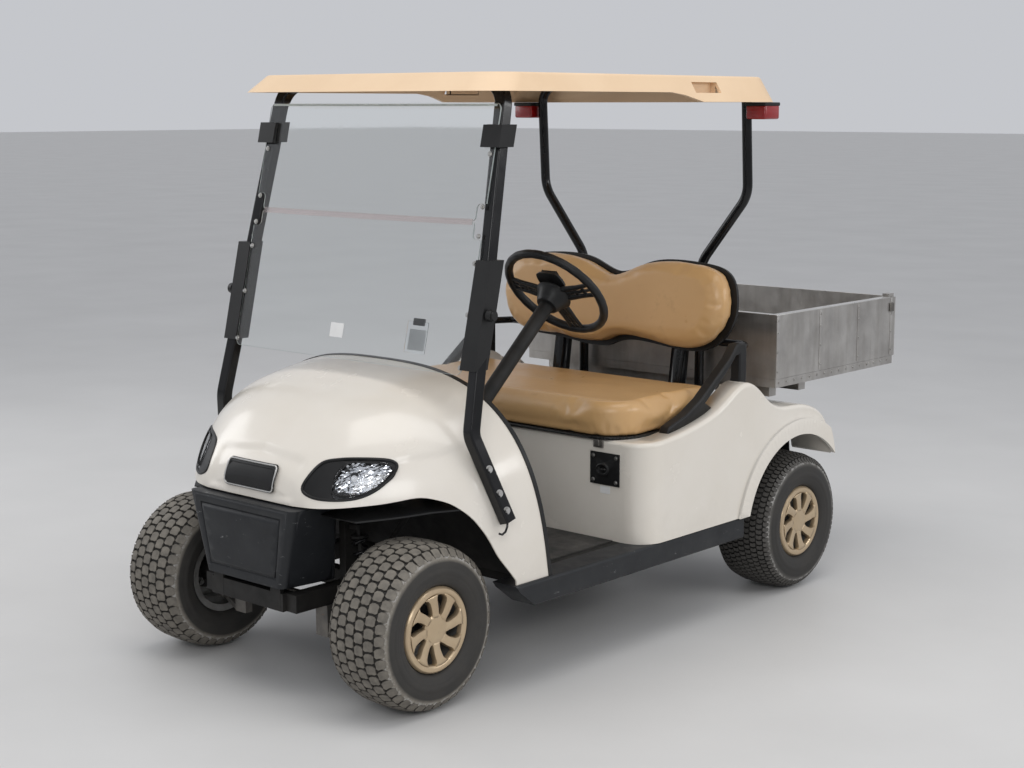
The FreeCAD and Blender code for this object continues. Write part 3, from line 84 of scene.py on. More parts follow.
class Finish:
    """A material's node tree, with short ways to add to it."""

    def __init__(self, name, slot=None):
        self.material = bpy.data.materials.new(name)
        self.material.use_nodes = True
        self.tree = self.material.node_tree
        self.where = self.node("TexCoord", {}, "Object")

    def put(self, socket, value):
        """Links an output to a socket, or gives the socket a value of its own."""
        if isinstance(value, bpy.types.NodeSocket):
            self.tree.links.new(value, socket)
        elif isinstance(value, tuple):
            socket.default_value = (*value, 1)[:len(socket.default_value)]
        else:
            socket.default_value = value

    def node(self, kind, inputs, output, **settings):
        made = self.tree.nodes.new("ShaderNode" + kind)
        for key, value in settings.items():
            setattr(made, key, value)
        for key, value in inputs.items():
            self.put(made.inputs[key], value)
        return made.outputs[output]

    def set(self, inputs):
        """Fills sockets of the shader itself."""
        for key, value in inputs.items():
            self.put(self.tree.nodes["Principled BSDF"].inputs[key], value)
        return self.material

    def noise(self, scale, detail=4.0, rough=0.55, stretch=None, distortion=0.0):
        where = self.node("Mapping", {"Vector": self.where, "Scale": stretch},
                          "Vector") if stretch else self.where
        return self.node("TexNoise", {"Vector": where, "Scale": scale, "Detail": detail, "Roughness": rough,
                                      "Distortion": distortion}, "Fac")

    def wave(self, scale, direction):
        return self.node("TexWave", {"Vector": self.where, "Scale": scale}, "Fac", bands_direction=direction)

    def ramp(self, factor, *stops):
        """A colour ramp of (place, colour) stops, where a plain number is a grey."""
        made = self.tree.nodes.new("ShaderNodeValToRGB")
        elements = made.color_ramp.elements
        while len(elements) < len(stops):
            elements.new(0.5)
        for element, (place, colour) in zip(elements, stops):
            element.position = place
            element.color = (*colour, 1) if isinstance(colour, tuple) else (colour, colour, colour, 1)
        self.tree.links.new(factor, made.inputs["Fac"])
        return made.outputs["Color"]

    def mix(self, factor, a, b):
        return self.node("Mix", {0: factor, 6: a, 7: b}, 2, data_type="RGBA")

    def calc(self, operation, a, b):
        return self.node("Math", {0: a, 1: b}, 0, operation=operation)

    def bump(self, *heights):
        """Chains (height, strength, distance) bumps into the shader's normal."""
        last = {}
        for height, strength, distance in heights:
            inputs = {"Strength": strength, "Distance": distance, "Height": height, **last}
            last = {"Normal": self.node("Bump", inputs, "Normal")}
        return self.set(last)


def surface(name, slot, base, worn, roughness, patch=6.0, grain=900.0, grain_depth=0.00004, metallic=0.0,
            coat=0.0,
            scuff=None, scuff_amount=0.62, low_dirt=None, streak=None):
    """A finish with blotches, fine grain, light scuffs and, where asked, dirt near the ground."""
    m = Finish(name, slot)
    colour = m.ramp(m.noise(patch, 6.0, 0.6), (0.3, base), (0.72, worn))
    if scuff:
        marks = m.noise(26.0, 9.0, 0.72, (1.0, 1.0, 2.6), 0.6)
        colour = m.mix(m.ramp(marks, (scuff_amount, 0), (scuff_amount + 0.07, 0.85)), colour, scuff)
    if streak:
        tint, stretch, most = streak
        colour = m.mix(m.ramp(m.noise(34.0, 3.0, 0.5, stretch), (0.45, 0), (0.8, most)), colour, tint)
    if low_dirt:
        tint, top, amount = low_dirt
        height = m.calc("DIVIDE", m.node("SeparateXYZ", {0: m.where}, "Z"), top)
        cloud = m.calc("MULTIPLY", m.noise(11.0, 7.0, 0.65), 2.0 * amount)
        reach = m.calc("MULTIPLY", m.calc("SUBTRACT", 1.0, height), cloud)
        colour = m.mix(m.ramp(reach, (0.15, 0), (0.95, 1)), colour, tint)
    m.set({"Base Color": colour, "Metallic": metallic, "Coat Weight": coat, "Coat Roughness": 0.12,
           "Specular IOR Level": 0.5 if max(base) > 0.1 else 0.3,
           "Roughness": m.ramp(m.noise(patch * 2.3, 5.0, 0.6), (0.3, roughness[0]), (0.75, roughness[1]))})
    return m.bump((m.noise(patch * 1.5, 2.0, 0.5), 0.12, 0.0012),
                  (m.noise(grain, 3.0, 0.6), 0.35, grain_depth))


WHITE = surface("body_white_paint", "body_white", (0.78, 0.735, 0.665), (0.735, 0.685, 0.605), (0.19, 0.30),
                3.0, 500.0,
                0.000015, coat=0.35, scuff=(0.60, 0.56, 0.50), scuff_amount=0.735,
                low_dirt=((0.52, 0.47, 0.40), 0.62, 0.42))
TAN_ROOF = surface("roof_tan_plastic", "roof_tan", (0.80, 0.60, 0.40), (0.74, 0.54, 0.35), (0.42, 0.55),
                   4.0, 750.0,
                   0.00005, scuff=(0.66, 0.50, 0.36), scuff_amount=0.70)
BLACK_PLASTIC = surface("black_plastic_moulding", "black_plastic", (0.008, 0.008, 0.0085),
                        (0.015, 0.015, 0.015),
                        (0.36, 0.50), 7.0, 1100.0, 0.00006, scuff=(0.13, 0.125, 0.12), scuff_amount=0.70)
GREY_PLASTIC = surface("dark_grey_plastic", "grey_plastic", (0.013, 0.0142, 0.0165), (0.022, 0.0235, 0.026),
                       (0.38, 0.54), 8.0, 1000.0, 0.00009, scuff=(0.30, 0.30, 0.30), scuff_amount=0.635,
                       low_dirt=((0.10, 0.095, 0.088), 0.5, 0.3))
BLACK_PAINT = surface("black_powder_coat", "black_paint", (0.005, 0.005, 0.0055), (0.009, 0.009, 0.010),
                      (0.13, 0.24),
                      9.0, 1400.0, 0.00003, scuff=(0.16, 0.155, 0.15), scuff_amount=0.73)
FRAME_PAINT = surface("dusty_frame_paint", "frame_paint", (0.008, 0.0078, 0.0075), (0.024, 0.022, 0.020),
                      (0.50, 0.70),
                      12.0, 700.0, 0.0001, scuff=(0.11, 0.08, 0.055), scuff_amount=0.68)
STEEL = surface("dusty_steel", "steel_dark", (0.11, 0.105, 0.10), (0.20, 0.185, 0.165), (0.42, 0.62), 22.0,
                900.0,
                0.0001, metallic=0.7, scuff=(0.28, 0.16, 0.09), scuff_amount=0.66)
ALUMINIUM = surface("weathered_aluminium", "bed_alu", (0.52, 0.505, 0.485), (0.36, 0.345, 0.33),
                    (0.34, 0.52), 9.0,
                    600.0, 0.00003, metallic=0.86, scuff=(0.62, 0.60, 0.57), scuff_amount=0.64,
                    streak=((0.30, 0.28, 0.255), (1.0, 1.0, 0.12), 0.55))
BRIGHT_ALU = surface("folded_aluminium_edge", "bed_alu", (0.66, 0.65, 0.63), (0.55, 0.54, 0.52),
                     (0.26, 0.40), 18.0,
                     900.0, 0.00003, metallic=0.9, scuff=(0.42, 0.41, 0.39), scuff_amount=0.66)
GOLD = surface("gold_wheel_paint", "wheel_gold", (0.56, 0.435, 0.285), (0.485, 0.365, 0.23), (0.28, 0.40),
               14.0, 1300.0,
               0.00003, metallic=0.55, coat=0.2, scuff=(0.33, 0.27, 0.20), scuff_amount=0.665)
RIM_STEEL = surface("grey_rim_steel", "wheel_gold", (0.30, 0.30, 0.29), (0.20, 0.19, 0.18), (0.42, 0.58),
                    24.0, 900.0,
                    0.00006, metallic=0.6, scuff=(0.17, 0.12, 0.08), scuff_amount=0.62)
DARK_VOID = surface("brake_dark", "steel_dark", (0.012, 0.012, 0.012), (0.030, 0.027, 0.024), (0.6, 0.8),
                    20.0, 500.0,
                    0.0001)
CHROME = surface("lamp_chrome", "lamp_clear", (0.86, 0.87, 0.88), (0.78, 0.79, 0.80), (0.05, 0.10), 20.0,
                 1500.0,
                 0.000005, metallic=1.0)
BOLT = surface("zinc_bolt", "steel_dark", (0.55, 0.545, 0.53), (0.40, 0.39, 0.37), (0.28, 0.42), 60.0,
               1500.0, 0.00003,
               metallic=0.95)
LABEL = surface("blank_label", "clear_sheet", (0.80, 0.80, 0.79), (0.74, 0.74, 0.73), (0.4, 0.5), 30.0,
                900.0, 0.00001)


def vinyl():
    """Caramel vinyl: leather grain, soft wrinkles and a slightly darker patina."""
    m = Finish("caramel_vinyl")
    colour = m.ramp(m.noise(3.2, 5.0, 0.55), (0.25, (0.54, 0.322, 0.135)), (0.75, (0.635, 0.40, 0.185)))
    stain = m.ramp(m.noise(13.0, 8.0, 0.7), (0.60, 0), (0.74, 0.45))
    m.set({"Base Color": m.mix(stain, colour, (0.44, 0.26, 0.115)), "Coat Weight": 0.12,
           "Coat Roughness": 0.22,
           "Roughness": m.ramp(m.noise(9.0, 5.0, 0.6), (0.3, 0.27), (0.75, 0.41))})
    cells = m.node("TexVoronoi", {"Vector": m.where, "Scale": 620.0}, "Distance", feature="DISTANCE_TO_EDGE")
    folds = m.noise(9.0, 3.0, 0.5, (0.5, 1.6, 1.0), 0.7)
    return m.bump((folds, 0.28, 0.004), (m.ramp(cells, (0.0, 0), (0.16, 1)), 0.22, 0.00012))


def tyre_rubber(name, dust, amount):
    """Tread rubber: dusty tops over grooves left dark as painted shade, and a scuffed ring where the dust
    paint is over 1.
    """
    m = Finish(name, "tyre_black")
    patch = m.noise(15.0, 7.0, 0.65)
    rubber = m.ramp(patch, (0.3, (0.018, 0.017, 0.016)), (0.75, (0.040, 0.037, 0.033)))
    paint = m.node("Attribute", {}, "Fac", attribute_name="dust")
    cloud = m.ramp(m.noise(42.0, 6.0, 0.65), (0.22, 0.35), (0.7, 1.0))
    # The dust paint lightens the tops with dust; where it is low, in the grooves, the dark rubber is painted
    # shade.
    dusty = m.mix(m.calc("MULTIPLY", m.calc("MULTIPLY", paint, cloud), amount), rubber, dust)
    ring = m.calc("MAXIMUM", m.calc("SUBTRACT", paint, 1.0), 0.0)
    flecks = m.ramp(m.noise(55.0, 8.0, 0.75), (0.44, 0.0), (0.62, 1.0))
    m.set({"Base Color": m.mix(m.calc("MULTIPLY", ring, flecks), dusty, (0.46, 0.45, 0.43)),
           "Roughness": m.ramp(patch, (0.3, 0.62), (0.75, 0.85))})
    return m.bump((m.noise(160.0, 5.0, 0.6), 0.3, 0.0004), (m.noise(900.0, 3.0, 0.6), 0.3, 0.0001))


def clear_sheet(name, tint, rough, stretch=(1.0, 1.0, 0.15), ior=1.49):
    m = Finish(name, "clear_sheet")
    lines = m.noise(70.0, 4.0, 0.6, stretch)
    m.set({"Base Color": tint, "Transmission Weight": 1.0, "IOR": ior,
           "Roughness": m.ramp(lines, (0.45, rough), (0.85, rough + 0.05))})
    return m.bump((m.noise(2.5, 2.0, 0.5), 0.05, 0.001))


# Cut acrylic edges: a frosted edge, made lighter as a painted highlight of the bright pane edges.
def frosted_edge_highlight():
    m = Finish("cut_acrylic_edge_painted_highlight", "clear_sheet")
    m.set({"Base Color": m.ramp(m.noise(60.0), (0.3, (0.62, 0.70, 0.68)), (0.8, (0.80, 0.86, 0.84))),
           "Roughness": 0.35, "Transmission Weight": 0.35})
    return m.bump((m.noise(500.0), 0.3, 0.0001))


def lamp_red():
    m = Finish("lamp_red_plastic", "lamp_red")
    bands = m.wave(95.0, "Z")
    m.set({"Base Color": m.ramp(m.noise(25.0), (0.3, (0.32, 0.006, 0.008)), (0.8, (0.21, 0.005, 0.006))),
           "Roughness": m.ramp(bands, (0.2, 0.12), (0.8, 0.24)), "Coat Weight": 0.5})
    return m.bump((bands, 0.3, 0.0006))


def mat_rubber():
    """Ribbed rubber with dried mud and trodden dust."""
    m = Finish("worn_mat_rubber")
    dust = m.ramp(m.noise(7.0, 8.0, 0.7), (0.38, (0.015, 0.0145, 0.014)), (0.60, (0.042, 0.039, 0.035)),
                  (0.82, (0.16, 0.15, 0.135)))
    m.set({"Base Color": dust, "Roughness": m.ramp(m.noise(30.0), (0.3, 0.6), (0.8, 0.9))})
    return m.bump((m.wave(42.0, "Y"), 0.5, 0.0012), (m.noise(300.0), 0.3, 0.0003))


VINYL, MAT_RUBBER, RED, FROSTED_EDGE_HIGHLIGHT = vinyl(), mat_rubber(), lamp_red(), frosted_edge_highlight()
TYRE_FRONT = tyre_rubber("dusty_turf_tyre", (0.205, 0.185, 0.155), 1.0)
TYRE_REAR = tyre_rubber("dark_road_tyre", (0.10, 0.094, 0.085), 0.8)
ACRYLIC = clear_sheet("clear_acrylic", (0.955, 0.975, 0.97), 0.015)
LENS = clear_sheet("lamp_lens", (0.97, 0.98, 1.0), 0.02, None, 1.45)
PINK_STRIP = clear_sheet("hinge_film", (0.93, 0.83, 0.82), 0.22)

# Mesh helpers


def paint(mesh, material):
    mesh.materials.clear()
    mesh.materials.append(material)
    mesh.shade_smooth()


def finish_mesh(name, mesh, material, body="cart", smooth=30.0):
    """A piece of one material that rides on a body, with sharp edges over an angle in degrees."""
    piece = new_object(name, mesh)
    paint(mesh, material)
    mesh.set_sharp_from_angle(angle=math.radians(smooth))
    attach(piece, body)
    return piece


def add(name, vertices, faces, material, body, smooth):
    """A new piece from plain vertex and face lists."""
    mesh = bpy.data.meshes.new(name)
    mesh.from_pydata([tuple(v) for v in vertices], [], faces)
    mesh.validate()
    return finish_mesh(name, mesh, material, body, smooth)


def to_mesh(name, bm, outward=True):
    if outward:
        bmesh.ops.recalc_face_normals(bm, faces=bm.faces)
    mesh = bpy.data.meshes.new(name)
    bm.to_mesh(mesh)
    bm.free()
    return mesh


def from_bmesh(name, bm, material, body="cart", smooth=40.0):
    return finish_mesh(name, to_mesh(name, bm), material, body, smooth)


def face_outwards(piece):
    bm = bmesh.new()
    bm.from_mesh(piece.data)
    bmesh.ops.recalc_face_normals(bm, faces=bm.faces)
    bm.to_mesh(piece.data)
    bm.free()


def set_dust_and_groove_shade(piece, shades):
    # The dust attribute carries real dust, and its low values leave the tyre's grooves dark as painted shade.
    piece.data.attributes.new("dust", "FLOAT", "POINT").data.foreach_set("value", shades)


def apply_modifier(piece, kind, **values):
    made = piece.modifiers.new(kind.lower(), kind)
    for key, value in values.items():
        setattr(made, key, value)


def bake(piece):
    """Applies every modifier to the mesh."""
    graph = bpy.context.evaluated_depsgraph_get()
    mesh = bpy.data.meshes.new_from_object(piece.evaluated_get(graph))
    piece.modifiers.clear()
    piece.data = mesh
    return piece


def dress(node, material, angle=32.0, edge=0.0):
    """Finishes a CAD node that keeps its shape: smooth where its faces run on, its edges rounded if asked."""
    source = NODES[node]
    bm = bmesh.new()
    bm.from_mesh(source.data)
    bmesh.ops.remove_doubles(bm, verts=bm.verts, dist=0.00002)
    if edge:
        bmesh.ops.dissolve_limit(bm, angle_limit=math.radians(1.0), verts=bm.verts, edges=bm.edges)
    piece = new_object(node + "_finish", to_mesh(node + "_finish", bm, False))
    paint(piece.data, material)
    if edge:
        apply_modifier(piece, "BEVEL", width=edge / 1000, segments=2, limit_method="ANGLE",
                       angle_limit=math.radians(38), harden_normals=False)
        bake(piece)
    piece.data.set_sharp_from_angle(angle=math.radians(angle + (25 if edge else 0)))
    apply_modifier(piece, "WEIGHTED_NORMAL", keep_sharp=True, weight=60, mode="FACE_AREA_WITH_ANGLE")
    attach(piece, source["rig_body"])
    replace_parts(piece, node)


def bridge(bm, rings, closed=False):
    """Faces between rings of vertices; closed also joins the last ring to the first."""
    size = len(rings[0])
    for here, there in zip(rings, rings[1:] + rings[:1] if closed else rings[1:]):
        for k in range(size):
            bm.faces.new((here[k], here[(k + 1) % size], there[(k + 1) % size], there[k]))


def slab(near, far):
    """A closed bmesh between two outlines with as many points each."""
    bm = bmesh.new()
    rings = [[bm.verts.new(p) for p in outline] for outline in (near, far)]
    bm.faces.new(rings[0])
    bm.faces.new(rings[1][::-1])
    bridge(bm, rings)
    return bm


def aim(at, direction):
    """The matrix that puts a form's Z axis along a direction, at a point."""
    return Matrix.Translation(at) @ Vector(direction).to_track_quat("Z", "Y").to_matrix().to_4x4()


def cone(bm, place, radius, top, depth, segments, shift=0.0):
    bmesh.ops.create_cone(bm, cap_ends=True, segments=segments, radius1=radius, radius2=top, depth=depth,
                          matrix=place @ Matrix.Translation((0, 0, shift)))


def bolt(bm, centre, direction, radius=0.006, height=0.004, sides=6):
    """A small headed fastener added to a mesh."""
    place = aim(centre, direction)
    cone(bm, place, radius * 1.5, radius * 1.45, height * 0.4, 18, height * 0.2)
    cone(bm, place, radius, radius * 0.92, height, sides, height * 0.8)


def rod(bm, lower, upper, radius, top_radius=None, segments=32):
    """A straight rod or taper between two points, all in mm."""
    low, high = P(*lower), P(*upper)
    cone(bm, aim((low + high) / 2, high - low), radius / 1000, (top_radius or radius) / 1000,
         (high - low).length, segments)


def tube(name, points, radius, material, closed=False, sides=10, body="cart"):
    """A round tube along points, with its radius in metres."""
    bm = bmesh.new()
    count = len(points)
    rings = []
    for i, centre in enumerate(points):
        ahead = points[(i + 1) % count] if closed or i + 1 < count else centre
        behind = points[i - 1] if closed or i > 0 else centre
        along = (ahead - behind).normalized()
        side = along.cross(Vector((0, 0, 1)))
        side = along.cross(Vector((0, 1, 0))).normalized() if side.length < 0.05 else side.normalized()
        up = side.cross(along).normalized()
        rings.append([bm.verts.new(centre + (side * math.cos(a) + up * math.sin(a)) * radius)
                      for a in (TAU * k / sides for k in range(sides))])
    bridge(bm, rings, closed)
    if not closed:
        bm.faces.new(rings[0][::-1])
        bm.faces.new(rings[-1])
    return from_bmesh(name, bm, material, body, 40)


def bevelled(name, corner, far_corner, radius, material, segments=3, body="cart", lean=0.0):
    """A box between two corners, in mm, with rounded edges, leaning about X."""
    low, high = zip(*(sorted(pair) for pair in zip(corner, far_corner)))
    bm = bmesh.new()
    bmesh.ops.create_cube(bm, size=1.0)
    a, b = P(*low), P(*high)
    for v in bm.verts:
        v.co = Vector(((v.co[k] + 0.5) * (b[k] - a[k]) + a[k] for k in range(3)))
    bmesh.ops.bevel(bm, geom=bm.edges[:], offset=radius / 1000, segments=segments, profile=0.5,
                    affect="EDGES")
    if lean:
        bmesh.ops.rotate(bm, verts=bm.verts, cent=(a + b) / 2, matrix=Matrix.Rotation(lean, 3, "X"))
    return from_bmesh(name, bm, material, body, 40)


def line_run(points):
    """The distance from the first point to each point of a 2-D line."""
    run = [0.0]
    for p, q in zip(points, points[1:]):
        run.append(run[-1] + math.hypot(q[0] - p[0], q[1] - p[1]))
    return run


# Wheels and tyres

AXLE_Z = 229.0
WHEELS = (
    ("front_left", 1, 433.0, 0.0, "road_wheel_fl"), ("front_right", -1, 433.0, 0.0, "road_wheel_fr"),
    ("rear_left", 1, 491.0, 1680.0, "road_wheel_rl"), ("rear_right", -1, 491.0, 1680.0, "road_wheel_rr"),
)
CROWN = ((-108.0, 166.0), (-106.0, 184.0), (-101.0, 202.0), (-88.0, 217.0), (-56.0, 226.0), (0.0, 228.8),
         (56.0, 226.0), (88.0, 217.0), (101.0, 202.0), (106.0, 184.0), (108.0, 166.0))
CROWN_RUN = line_run(CROWN)
SIDEWALL = [(-82, 103), (-82, 117), (-92, 121), (-99, 127), (-103, 134), (-105.5, 142), (-106.5, 145),
            (-106.5, 150),
            (-107.8, 152), (-108, 164), (-107, 166), (-107, 171), (-105, 184), (-100, 197), (-98, 203)]
GROOVE = 7.5                 # depth of the tread, mm
# Blocks as (across, along) points in mm. A turf block's nose nests between two of the next column.
TURF_BLOCK = ((-15.5, -9.0), (-9.0, -15.0), (0.0, -16.4), (9.0, -15.0), (15.5, -9.0), (14.2, 0.0),
              (15.0, 9.5), (9.0, 13.2), (0.0, 12.2), (-9.0, 13.2), (-15.0, 9.5), (-14.2, 0.0))
ROAD_BLOCK = ((-9.0, -7.5), (0.0, -5.2), (9.0, -7.5), (10.4, 0.0), (9.0, 6.0), (0.0, 8.2), (-9.0, 6.0),
              (-10.4, 0.0))
# scale, depth in mm, dust (low at the groove floor, which stays dark as painted shade)
BLOCK_LEVELS = ((1.0, GROOVE + 0.8, 0.0), (0.995, 1.6, 0.35), (0.955, 0.0, 1.0))
COVER_FACE = 88.5            # the cover's plane, mm out from the wheel's middle
COVER_RING = ((0, 95), (6, 96.5), (9.2, 100), (10.6, 106), (9.6, 112), (5.5, 116.5), (0.6, 118), (0.4, 112),
              (-6, 98), (-8, 95))
COVER_HUB = ((-8, 43), (1.5, 43), (4.6, 39), (6, 32), (6.6, 22), (7, 10), (7.1, 0.1), (-8, 0.1))
SPOKES, SPOKE_INNER, SPOKE_OUTER = 8, 34, 98
RIM = ((-88, 116), (-87.5, 117.5), (-84, 117), (-82, 113), (-81.5, 103), (-50, 101), (-40, 88), (-10, 88),
       (0, 101),
       (81.5, 103), (82, 113), (84, 117), (87, 116.8), (87.5, 112), (84, 99), (20, 97), (14, 84), (12, 40),
       (4, 38),
       (4, 84), (-12, 82), (-42, 82), (-54, 96), (-84, 98), (-86, 108))
HUB_LINE = ((-46, 15.2), (-46, 34), (-6, 34), (-4, 60), (12.5, 62), (18, 58), (20, 15.2))
DRUM_LINE = ((-84, 76), (-84, 81.5), (-6, 81.5), (-4, 58), (-8, 56), (-9, 76))


def on_wheel(centre, x, r, angle):
    """A point x mm along a wheel's axle and r mm out from it."""
    return centre + Vector((x, r * math.sin(angle), -r * math.cos(angle))) / 1000


def lathe(name, outline, centre, material, body, side=1, segments=96, smooth=32.0, dust=None):
    """Revolves (offset along X, radius) points, in mm, about a wheel's axis."""
    vertices, faces, shades = [], [], []
    count = len(outline)
    for i in range(segments):
        a, b = i * count, (i + 1) % segments * count
        for k, (x, r) in enumerate(outline):
            vertices.append(on_wheel(centre, side * x, r, TAU * i / segments))
            shades.append(dust(r) if dust else 0.0)
            m = (k + 1) % count
            faces.append((a + k, a + m, b + m, b + k)[::side])
    piece = add(name, vertices, faces, material, body, smooth)
    if dust:
        set_dust_and_groove_shade(piece, shades)
    return piece


def crown_at(t):
    """A point on the tyre's outer line, t mm from the crown's middle, with its outward direction."""
    want = min(max(t + CROWN_RUN[-1] / 2, 0.001), CROWN_RUN[-1] - 0.001)
    i = next(i for i in range(len(CROWN) - 1) if CROWN_RUN[i + 1] >= want)
    share = (want - CROWN_RUN[i]) / (CROWN_RUN[i + 1] - CROWN_RUN[i])
    (x0, r0), (x1, r1) = CROWN[i], CROWN[i + 1]
    dx, dr = x1 - x0, r1 - r0
    size = math.hypot(dx, dr)
    return x0 + dx * share, r0 + dr * share, -dr / size, dx / size


def sunk_crown(t, depth):
    x, r, nx, nr = crown_at(t)
    return x - nx * depth, r - nr * depth


def tread_blocks(name, centre, material, body, columns, around, shape, spacing):
    """Raised rubber blocks in columns round the tyre, every other column half a pitch on."""
    vertices, faces, shades = [], [], []
    pitch = TAU / around
    size = len(shape)
    for c in range(columns):
        t0 = (c - (columns - 1) / 2) * spacing
        for n in range(around):
            a0 = (n + 0.5 * (c % 2)) * pitch
            first = len(vertices)
            # Each level's dust paint: dusty on the top, while the groove floor is left dark as painted shade.
            for scale, depth, shade in BLOCK_LEVELS:
                for u, v in shape:
                    vertices.append(on_wheel(centre, *sunk_crown(t0 + u * scale, depth),
                                             a0 + v * scale / AXLE_Z))
                    shades.append(shade)
            for low in (first, first + size):
                for k in range(size):
                    m = (k + 1) % size
                    faces.append((low + k, low + m, low + size + m, low + size + k))
            faces.append(tuple(first + 2 * size + k for k in range(size)))
    piece = add(name, vertices, faces, material, body, 40)
    set_dust_and_groove_shade(piece, shades)
    face_outwards(piece)


def tyre_dust_and_groove_shade(r):
    """Dust on the carcass by radius: low on the groove floor, which stays dark as painted shade, and over 1
    on the ring that kerbs scuff.
    """
    # The groove floor between the blocks stays dark as painted shade.
    if r > 205:
        return 0.06
    return 1.9 if 186 < r < 205 else 0.04


def build_tyre(place, centre, body):
    front = place.startswith("front")
    rubber = TYRE_FRONT if front else TYRE_REAR
    outline = SIDEWALL + [sunk_crown(-96 + 12 * i,
                                     GROOVE) for i in range(17)] + [(-x, r) for x, r in SIDEWALL[::-1]]
    carcass = lathe("tyre_carcass_" + place, outline, centre, rubber, body, 1, 112, 38, tyre_dust_and_groove_shade)
    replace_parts(carcass, "tyre_" + place)
    if front:
        tread_blocks("tyre_turf_lugs_" + place, centre, rubber, body, 7, 42, TURF_BLOCK, 32.6)
    else:
        tread_blocks("tyre_road_lugs_" + place, centre, rubber, body, 10, 76, ROAD_BLOCK, 22.6)


def wheel_cover(place, side, centre, body):
    """Gold cover: a domed centre, broad swept spokes with petal windows, and a rolled rim."""
    for name, line, segments in (("rim", COVER_RING, 96), ("hub", COVER_HUB, 64)):
        outline = [(COVER_FACE + x, r) for x, r in line]
        lathe("wheel_cover_%s_%s" % (name, place), outline, centre, GOLD, body, side, segments)
    vertices, faces = [], []
    rows, across = 9, 8
    for n in range(SPOKES):
        first = len(vertices)
        for i in range(rows):
            share = i / (rows - 1)
            r = SPOKE_INNER + (SPOKE_OUTER - SPOKE_INNER) * share
            swing = side * (0.20 * share ** 1.3)
            flare = (9.5 * max(0, share - 0.72) / 0.28 * (share - 0.72) / 0.28 * 1.3
                     + 4.5 * max(0, 0.22 - share) / 0.22)
            half = (13.0 + 5.0 * share + flare) / r
            lift = COVER_FACE + 3.2 + 5.0 * share ** 1.5
            for k in range(across + 1):
                u = -1 + 2 * k / across
                drop = -13.0 if k in (0, across) else 0.0
                edge = u if drop else max(-1, min(1, u * 1.06))
                x = lift + 2.6 * (1 - u * u) + drop
                vertices.append(on_wheel(centre, side * x, r, TAU * n / SPOKES + swing + half * edge))
        for i in range(rows - 1):
            for k in range(across):
                a = first + i * (across + 1) + k
                faces.append((a, a + 1, a + across + 2, a + across + 1))
    piece = add("wheel_cover_spokes_" + place, vertices, faces, GOLD, body, 50)
    face_outwards(piece)
    apply_modifier(piece, "SOLIDIFY", thickness=0.0016, offset=-1)
    bake(piece)


def rim(place, side, centre, body):
    """Steel rim with its drop centre, web, hub and, at the rear, the brake drum."""
    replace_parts(lathe("wheel_rim_" + place, RIM, centre, RIM_STEEL, body, side), "wheel_" + place)
    lathe("wheel_hub_" + place, HUB_LINE, centre, DARK_VOID, body, side, 48)
    if place.startswith("rear"):
        lathe("brake_drum_" + place, DRUM_LINE, centre, DARK_VOID, body, side, 64)
    bm = bmesh.new()
    for i in range(4):
        bolt(bm, on_wheel(centre, side * -5, 50, math.pi / 4 + math.pi / 2 * i), (-side, 0, 0), 0.009, 0.012)
    from_bmesh("wheel_nuts_" + place, bm, BOLT, body, 30)
    stem = [centre + Vector((side * x, y, z)) / 1000 for x, y, z in ((70, 88, 12), (84, 84, 12),
                                                                     (93, 80, 11))]
    tube("tyre_valve_" + place, stem, 0.0035, BLACK_PLASTIC, body=body)


for place, side, track, station, body in WHEELS:
    centre = P(side * track, station, AXLE_Z)
    build_tyre(place, centre, body)
    wheel_cover(place, side, centre, body)
    rim(place, side, centre, body)

# Body finish: nodes that keep their form, with a material, a smoothing angle and the width of
# rounded edges in mm

for names, *finish in (
    ("rear_body", WHITE, 28),
    ("roof", TAN_ROOF, 32),
    ("front_hoop rear_hoop seat_frame", BLACK_PAINT, 40),
    ("hip_restraints cowl_edge_trim dash_panel wheel_liners seat_back_shell seat_pan charge_port",
     BLACK_PLASTIC, 34),
    ("windshield_clips", BLACK_PLASTIC, 34, 4.0),
    ("pedals", BLACK_PLASTIC, 34, 2.0),
    ("headlamp_housings badge_plate", BLACK_PLASTIC, 30),
    ("headlamp_lenses", LENS, 40),
    ("front_bumper rear_deck rear_bumper", GREY_PLASTIC, 34),
    ("sills", GREY_PLASTIC, 34, 7.0),
    ("chassis_frame", FRAME_PAINT, 34, 2.0),
    ("floor_pan steering_column", FRAME_PAINT, 34),
    ("floor_mat", MAT_RUBBER),
    ("front_suspension tie_rod rear_axle rear_springs knuckle_left knuckle_right", STEEL, 34),
    ("battery_pack", BLACK_PLASTIC),
    ("cargo_bed bed_frame tailgate", ALUMINIUM, 30, 0.9),
):
    for name in names.split():
        dress(name, *finish)

# Cowl: the CAD's form with finer creases

COWL_ROWS = (                # station, half width, crown height, power of the arch
    (-188, 238, 592, 3.0), (-172, 285, 632, 3.0), (-140, 330, 668, 3.1), (-90, 382, 714, 3.2),
    (-30, 440, 760, 3.2), (50, 505, 802, 3.1), (130, 556, 832, 3.0), (210, 576, 854, 2.9),
    (300, 578, 870, 2.9), (400, 578, 880, 2.9), (470, 578, 884, 2.9),
)
COWL_OPENING = (             # wheel opening, as (station, z)
    (-260, 540), (-150, 545), (-60, 558), (20, 576), (80, 556), (125, 515), (162, 460),
    (196, 395), (262, 318), (262, 250), (-260, 250),
)
COWL_FLOOR = 300.0
COWL_CELLS = 190
LAMP_CENTRE = (300.0, -95.0, 622.0)
LAMP_TURN = math.radians(38.5)
LAMP_OUTLINE = ((-128, -26), (-84, 30), (-30, 46), (60, 50), (118, 44), (126, 22), (84, -22), (30, -48),
                (-40, -56),
                (-104, -50))
LENS_OUTLINE = ((-44, -34), (-8, 34), (60, 40), (108, 34), (114, 18), (76, -20), (28, -40))


